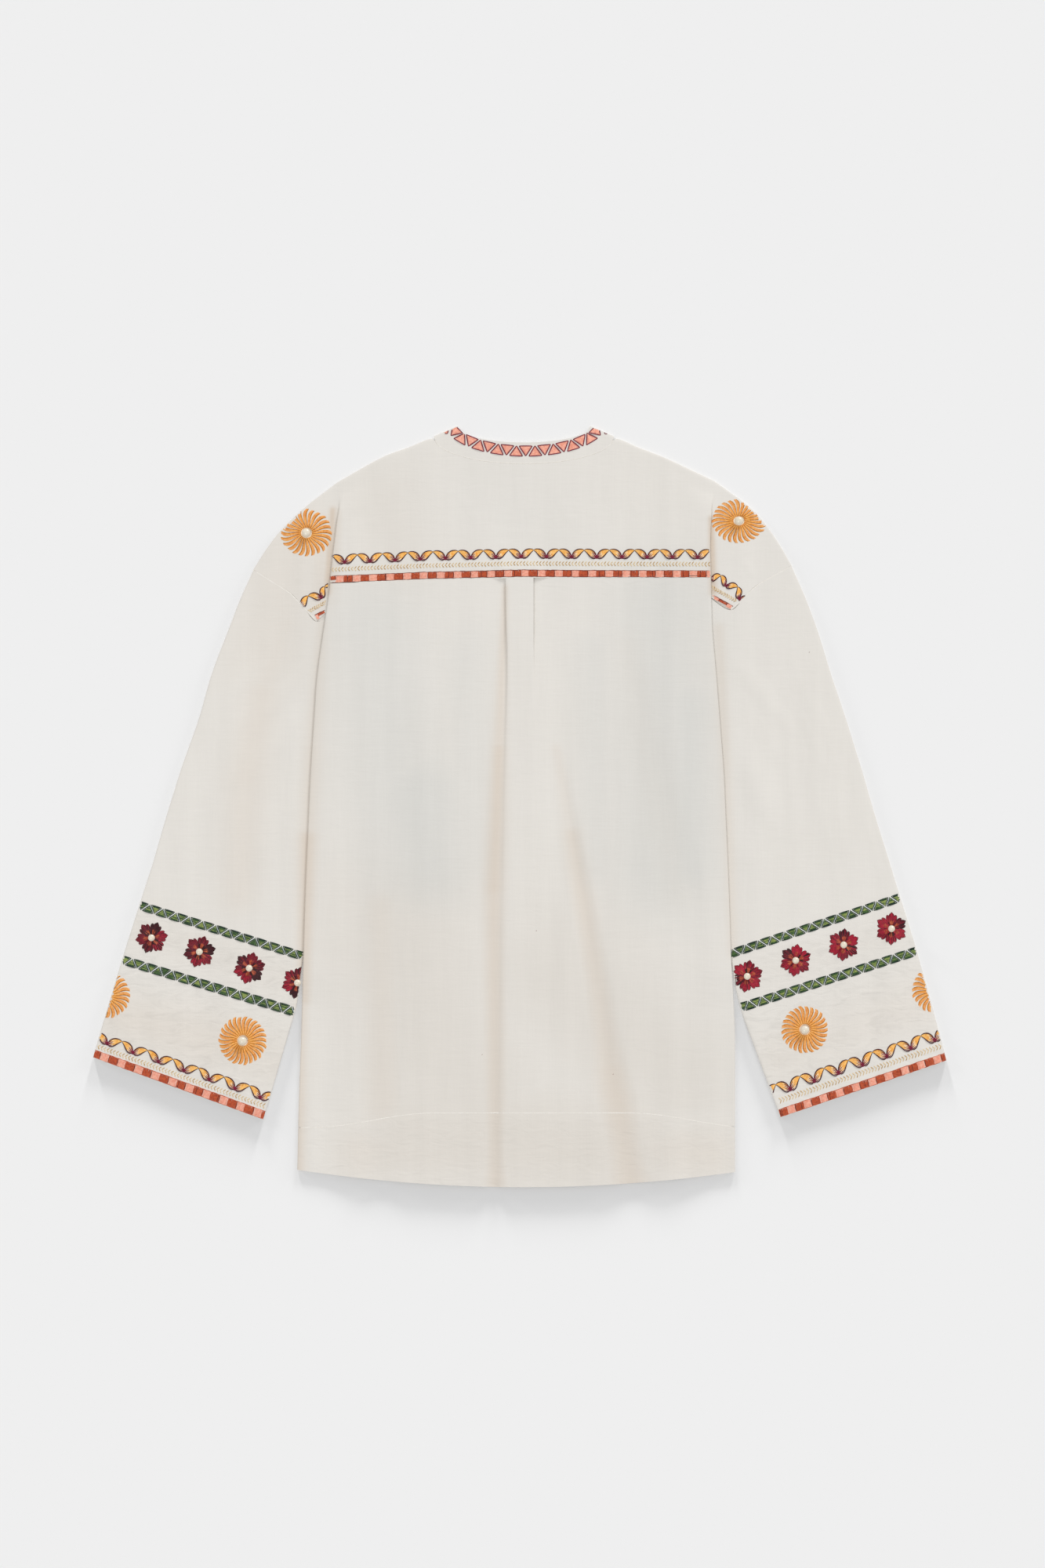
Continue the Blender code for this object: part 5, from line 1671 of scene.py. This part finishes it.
# Edge of a petal by its angle from the petal's middle, as shares of the flower's radius
Lobe = namedtuple("Lobe", "degrees reach")
PETAL = [Lobe(-30, 0.60), Lobe(-27, 0.74), Lobe(-22, 0.86), Lobe(-17, 0.89), Lobe(-12, 0.82),
         Lobe(-8, 0.90), Lobe(0, 1.02), Lobe(8, 0.90), Lobe(12, 0.82), Lobe(17, 0.89),
         Lobe(22, 0.86), Lobe(27, 0.74), Lobe(30, 0.60)]
# Two threads for each petal, the first for its outer part and the second for its inner part
PETAL_MIX = {
    "left": ["crimson wine", "oxblood oxblood", "wine oxblood", "wine wine", "oxblood wine",
             "crimson oxblood"],
    "right": ["crimson crimson", "oxblood wine", "crimson wine", "crimson crimson", "wine crimson",
              "crimson oxblood"],
}


def flower(x, y, turn, shift, petals):
    """Threads of one flower; shift says which of its petals are the dark ones."""
    rows = []
    for petal in range(6):
        edge, body = petals[(petal + shift) % 6].split()
        middle = turn + 60.0 * petal

        def spot(degrees, reach):
            angle = math.radians(middle + degrees)
            return (x + FLOWER_RADIUS * reach * math.cos(angle),
                    y + FLOWER_RADIUS * reach * math.sin(angle))

        fan = 27
        for step in range(fan):
            degrees = -29.0 + 58.0 * step / (fan - 1)
            reach = read(PETAL, "reach", degrees) - 0.03
            colour = edge if chance.random() < 0.6 else body
            rows.append(straight_stitch(spot(degrees * 0.96, 0.4), spot(degrees, reach), 1.0,
                                        colour, 0.3))
        for step in range(15):
            degrees = -28.0 + 56.0 * step / 14
            reach = 0.58 + (0.12 if step % 2 else 0.0) - 0.003 * abs(degrees)
            colour = "brick" if abs(degrees) < 20 and chance.random() < 0.7 else body
            rows.append(straight_stitch(spot(degrees * 0.9, 0.14), spot(degrees * 0.85, reach),
                                        0.9, colour, 0.45))
        rim = [spot(lobe.degrees, lobe.reach) for lobe in PETAL]
        rows.append(Thread(rim, 0.8, "oxblood" if edge == "oxblood" else "wine", 0.1))
        rows.append(straight_stitch(spot(30, 0.22), spot(30, 0.6), 0.6, "oxblood", 0.55))
    return rows


for number, place in enumerate(FLOWERS):
    side = place.name.split("_")[0]
    threads = flower(place.x, place.y, 8.0 + 3.0 * number, number, PETAL_MIX[side])
    embroider("thread_flower_" + place.name, threads, ["sleeve_" + side],
              "flower_" + place.name)


# Suns
# Two dozen rays of gold, peach and ochre thread, laid side by side in slim curved bundles round
# a pale ring. The ochre strand on one edge of each ray is ochre thread and also painted shade
# between the rays. They sit on both shoulders and cuffs, and half suns run over the sleeves' edges.

# Place, size, height as a share of the width, way in which the rays bend, and how many there are
Sun = namedtuple("Sun", "name x y radius tall swirl rays")
SUNS = [
    Sun("cuff_left", -265.0, -224.0, 23.2, 1.0, 1, 26),
    Sun("cuff_right", 272.5, -213.4, 22.6, 1.0, -1, 25),
    Sun("shoulder_left", -204.0, 261.5, 24.5, 0.93, 1, 24),
    Sun("shoulder_right", 209.5, 273.0, 26.0, 0.81, -1, 26),
    Sun("edge_left", -394.5, -180.5, 22.0, 1.0, 1, 24),
    Sun("edge_right", 397.0, -175.3, 22.0, 1.0, -1, 24),
]
SUN_BARE = 0.2
RAY_WIDTH = 2.7


def sun_rays(sun):
    """Threads of a sun, each ray bent one way near its foot and hooked the other at its tip."""
    rows = []
    for ray in range(sun.rays):
        angle = 2 * math.pi * ray / sun.rays
        length = 1.0 + chance.uniform(-0.03, 0.02)
        # The ochre strand darkens the line between rays: partly ochre thread, partly painted shade
        for strand, colour in ((-1.0, "ochre"), (-0.35, "gold"), (0.3, "peach"), (1.0, "gold")):
            points = []
            for step in range(10):
                share = mix(SUN_BARE, length, step / 9)
                out = (share - SUN_BARE) / (1 - SUN_BARE)
                bend = math.radians(5.2 * math.sin(math.pi * out ** 1.4) - 2.0 * out ** 8) * sun.swirl
                reach = sun.radius * share
                full = RAY_WIDTH / 2 * min(1.0, 0.25 + 1.0 * out) * (1 - 0.25 * out ** 9)
                turned = angle + bend + strand * full / max(reach, 1.0)
                points.append((sun.x + reach * math.cos(turned),
                               sun.y + reach * sun.tall * math.sin(turned)))
            rows.append(Thread(points, 0.95, colour, 0.35 if colour == "gold" else 0.12))
    ring = [(sun.x + 5.0 * math.cos(math.pi * step / 9),
             sun.y + 5.0 * sun.tall * math.sin(math.pi * step / 9)) for step in range(19)]
    if not sun.name.startswith("edge"):
        rows.append(Thread(ring, 1.0, "butter", 0.0))
    return rows


for sun in SUNS:
    place, side = sun.name.split("_")
    beds = ["yoke"] if place == "shoulder" else ["sleeve_" + side]
    embroider("thread_sun_" + sun.name, sun_rays(sun), beds,
              "sun_" + sun.name)


# Pearl beads
# Round moulded beads with a pearly coat, sewn on through the middle of each flower and sun.
# They give the eye a soft cream gleam with a small bright spot in it.

def pearl_coat():
    """Cream coat that drifts in tone over each bead."""
    material = bpy.data.materials.new("pearl_coated_bead")
    material.use_nodes = True
    tree = material.node_tree
    shader = tree.nodes["Principled BSDF"]
    shader.inputs["Roughness"].default_value = 0.28
    shader.inputs["Coat Weight"].default_value = 0.5
    shader.inputs["Coat Roughness"].default_value = 0.08
    shader.inputs["Sheen Weight"].default_value = 0.3
    place = add_node(tree, "ShaderNodeTexCoord").outputs["Object"]
    drift = add_node(tree, "ShaderNodeTexNoise",
                     {"Vector": place, "Scale": per_mm(4.0), "Detail": 2.0})
    colour = add_node(tree, "ShaderNodeMix",
                      {"Factor": drift.outputs["Fac"], 6: linear("F1E9DA"),
                       7: linear("DCCFB4")}, data_type="RGBA")
    tree.links.new(colour.outputs[2], shader.inputs["Base Color"])
    return material


PEARL_COAT = pearl_coat()
Pearl = namedtuple("Pearl", "name x y radius bed")
PEARLS = [Pearl(f.name, f.x, f.y, 3.3, "sleeve_" + f.name.split("_")[0]) for f in FLOWERS]
PEARLS += [Pearl(sun.name, sun.x, sun.y, 4.2,
                 "yoke" if "shoulder" in sun.name else "sleeve_" + sun.name.split("_")[1])
           for sun in SUNS if "edge" not in sun.name]
PEARL_FLAT = 0.8
for pearl in PEARLS:
    bm = bmesh.new()
    bmesh.ops.create_uvsphere(bm, u_segments=28, v_segments=16, radius=pearl.radius * MM)
    bmesh.ops.scale(bm, vec=(1.0, 1.0, PEARL_FLAT), verts=bm.verts)
    seat = height_on([pearl.bed], pearl.x, pearl.y) or level(2) + WALL / 2
    bmesh.ops.translate(bm, verts=bm.verts, vec=Vector(
        (pearl.x, pearl.y, seat + 0.5 + pearl.radius * PEARL_FLAT)) * MM)
    for face in bm.faces:
        face.smooth = True
    mesh = bpy.data.meshes.new("bead_" + pearl.name)
    bm.to_mesh(mesh)
    bm.free()
    mesh.materials.append(PEARL_COAT)
    bead = bpy.data.objects.new("bead_" + pearl.name, mesh)
    bpy.context.scene.collection.objects.link(bead)
    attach(bead, "root")
    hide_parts("pearl_" + pearl.name)


# Camera
# The blouse is seen from straight above with a long lens, which looks down a little nearer the
# neck than the middle.

camera = bpy.data.cameras.new("camera")
camera.lens = 120.0
camera.sensor_width = 36.0
camera.clip_end = 50.0
camera_object = bpy.data.objects.new("camera", camera)
camera_object.location = (0.0026, 0.0214, 5.0)
bpy.context.scene.collection.objects.link(camera_object)
bpy.context.scene.camera = camera_object


# Floor and light
# A pale matt floor, even white light from all round, and low broad lights from beyond the neck
# that draw a soft shadow out past the hem and the cuffs. Two higher ones shape the cloth.

bm = bmesh.new()
bmesh.ops.create_grid(bm, x_segments=1, y_segments=1, size=6.0)
floor_mesh = bpy.data.meshes.new("floor")
bm.to_mesh(floor_mesh)
bm.free()
floor = bpy.data.objects.new("floor", floor_mesh)
bpy.context.scene.collection.objects.link(floor)
paper = bpy.data.materials.new("pale_backdrop_paper")
paper.use_nodes = True
paper_shader = paper.node_tree.nodes["Principled BSDF"]
paper_shader.inputs["Base Color"].default_value = linear("EFEFEF")
paper_shader.inputs["Roughness"].default_value = 1.0
paper_shader.inputs["Specular IOR Level"].default_value = 0.0
floor_mesh.materials.append(paper)
floor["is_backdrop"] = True

# Distant lights: degrees up and round from the right, share of the light on level ground, width
# in degrees, and the pieces that alone throw a shadow in it
Sunlight = namedtuple("Sunlight", "name elevation bearing share width thrown_by", defaults=[None])
FLOOR_LIGHTS = [
    Sunlight("body_light_left", 6.5, 104.0, 0.09, 7.0, "body"),
    Sunlight("body_light_right", 6.5, 76.0, 0.09, 7.0, "body"),
    Sunlight("sleeve_light_left", 3.6, 105.0, 0.115, 4.8, "sleeves"),
    Sunlight("sleeve_light_right", 3.6, 75.0, 0.115, 4.8, "sleeves"),
    Sunlight("left_low_light", 6.0, 145.0, 0.035, 8.0),
    Sunlight("right_low_light", 6.0, 35.0, 0.035, 8.0),
]
CLOTH_LIGHTS = [
    Sunlight("key_light", 24.0, 65.0, 0.21, 18.0),
    Sunlight("fill_light", 58.0, 235.0, 0.27, 40.0),
]
FLOOR_SHARE = sum(sun.share for sun in FLOOR_LIGHTS)


def shine(sun, lit, throwers):
    """Distant light on one group of objects, with the shadow of all or of one group."""
    light = bpy.data.lights.new(sun.name, "SUN")
    light.energy = sun.share * math.pi / math.sin(math.radians(sun.elevation))
    light.angle = math.radians(sun.width)
    lamp = bpy.data.objects.new(sun.name, light)
    lamp.rotation_euler = (0.0, math.radians(90 - sun.elevation), math.radians(sun.bearing))
    lamp.light_linking.receiver_collection = lit
    if sun.thrown_by:
        lamp.light_linking.blocker_collection = throwers[sun.thrown_by]
    bpy.context.scene.collection.objects.link(lamp)


def light_group(name, members):
    """Collection of what a light falls on, or of what throws its shadow."""
    group = bpy.data.collections.new(name)
    for member in members:
        group.objects.link(member)
    return group


world = bpy.data.worlds.new("even_studio_light")
world.use_nodes = True
world.node_tree.nodes["Background"].inputs["Color"].default_value = (1.0, 1.0, 1.0, 1.0)
world.node_tree.nodes["Background"].inputs["Strength"].default_value = 1.0 - FLOOR_SHARE
bpy.context.scene.world = world
# The low lights fall on the floor alone, because they would burn out every raised seam
ground = light_group("floor_only", [floor])
garment = light_group("garment_only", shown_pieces())
cloths = [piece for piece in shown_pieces() if piece.name.startswith("cloth_")]
throwers = {
    "sleeves": light_group("sleeves_only", [p for p in cloths if "sleeve" in p.name]),
    "body": light_group("body_only", [p for p in cloths if "sleeve" not in p.name]),
}
for sun in FLOOR_LIGHTS:
    shine(sun, ground, throwers)
for sun in CLOTH_LIGHTS:
    shine(sun, garment, throwers)
bpy.context.scene.view_settings.view_transform = "Standard"
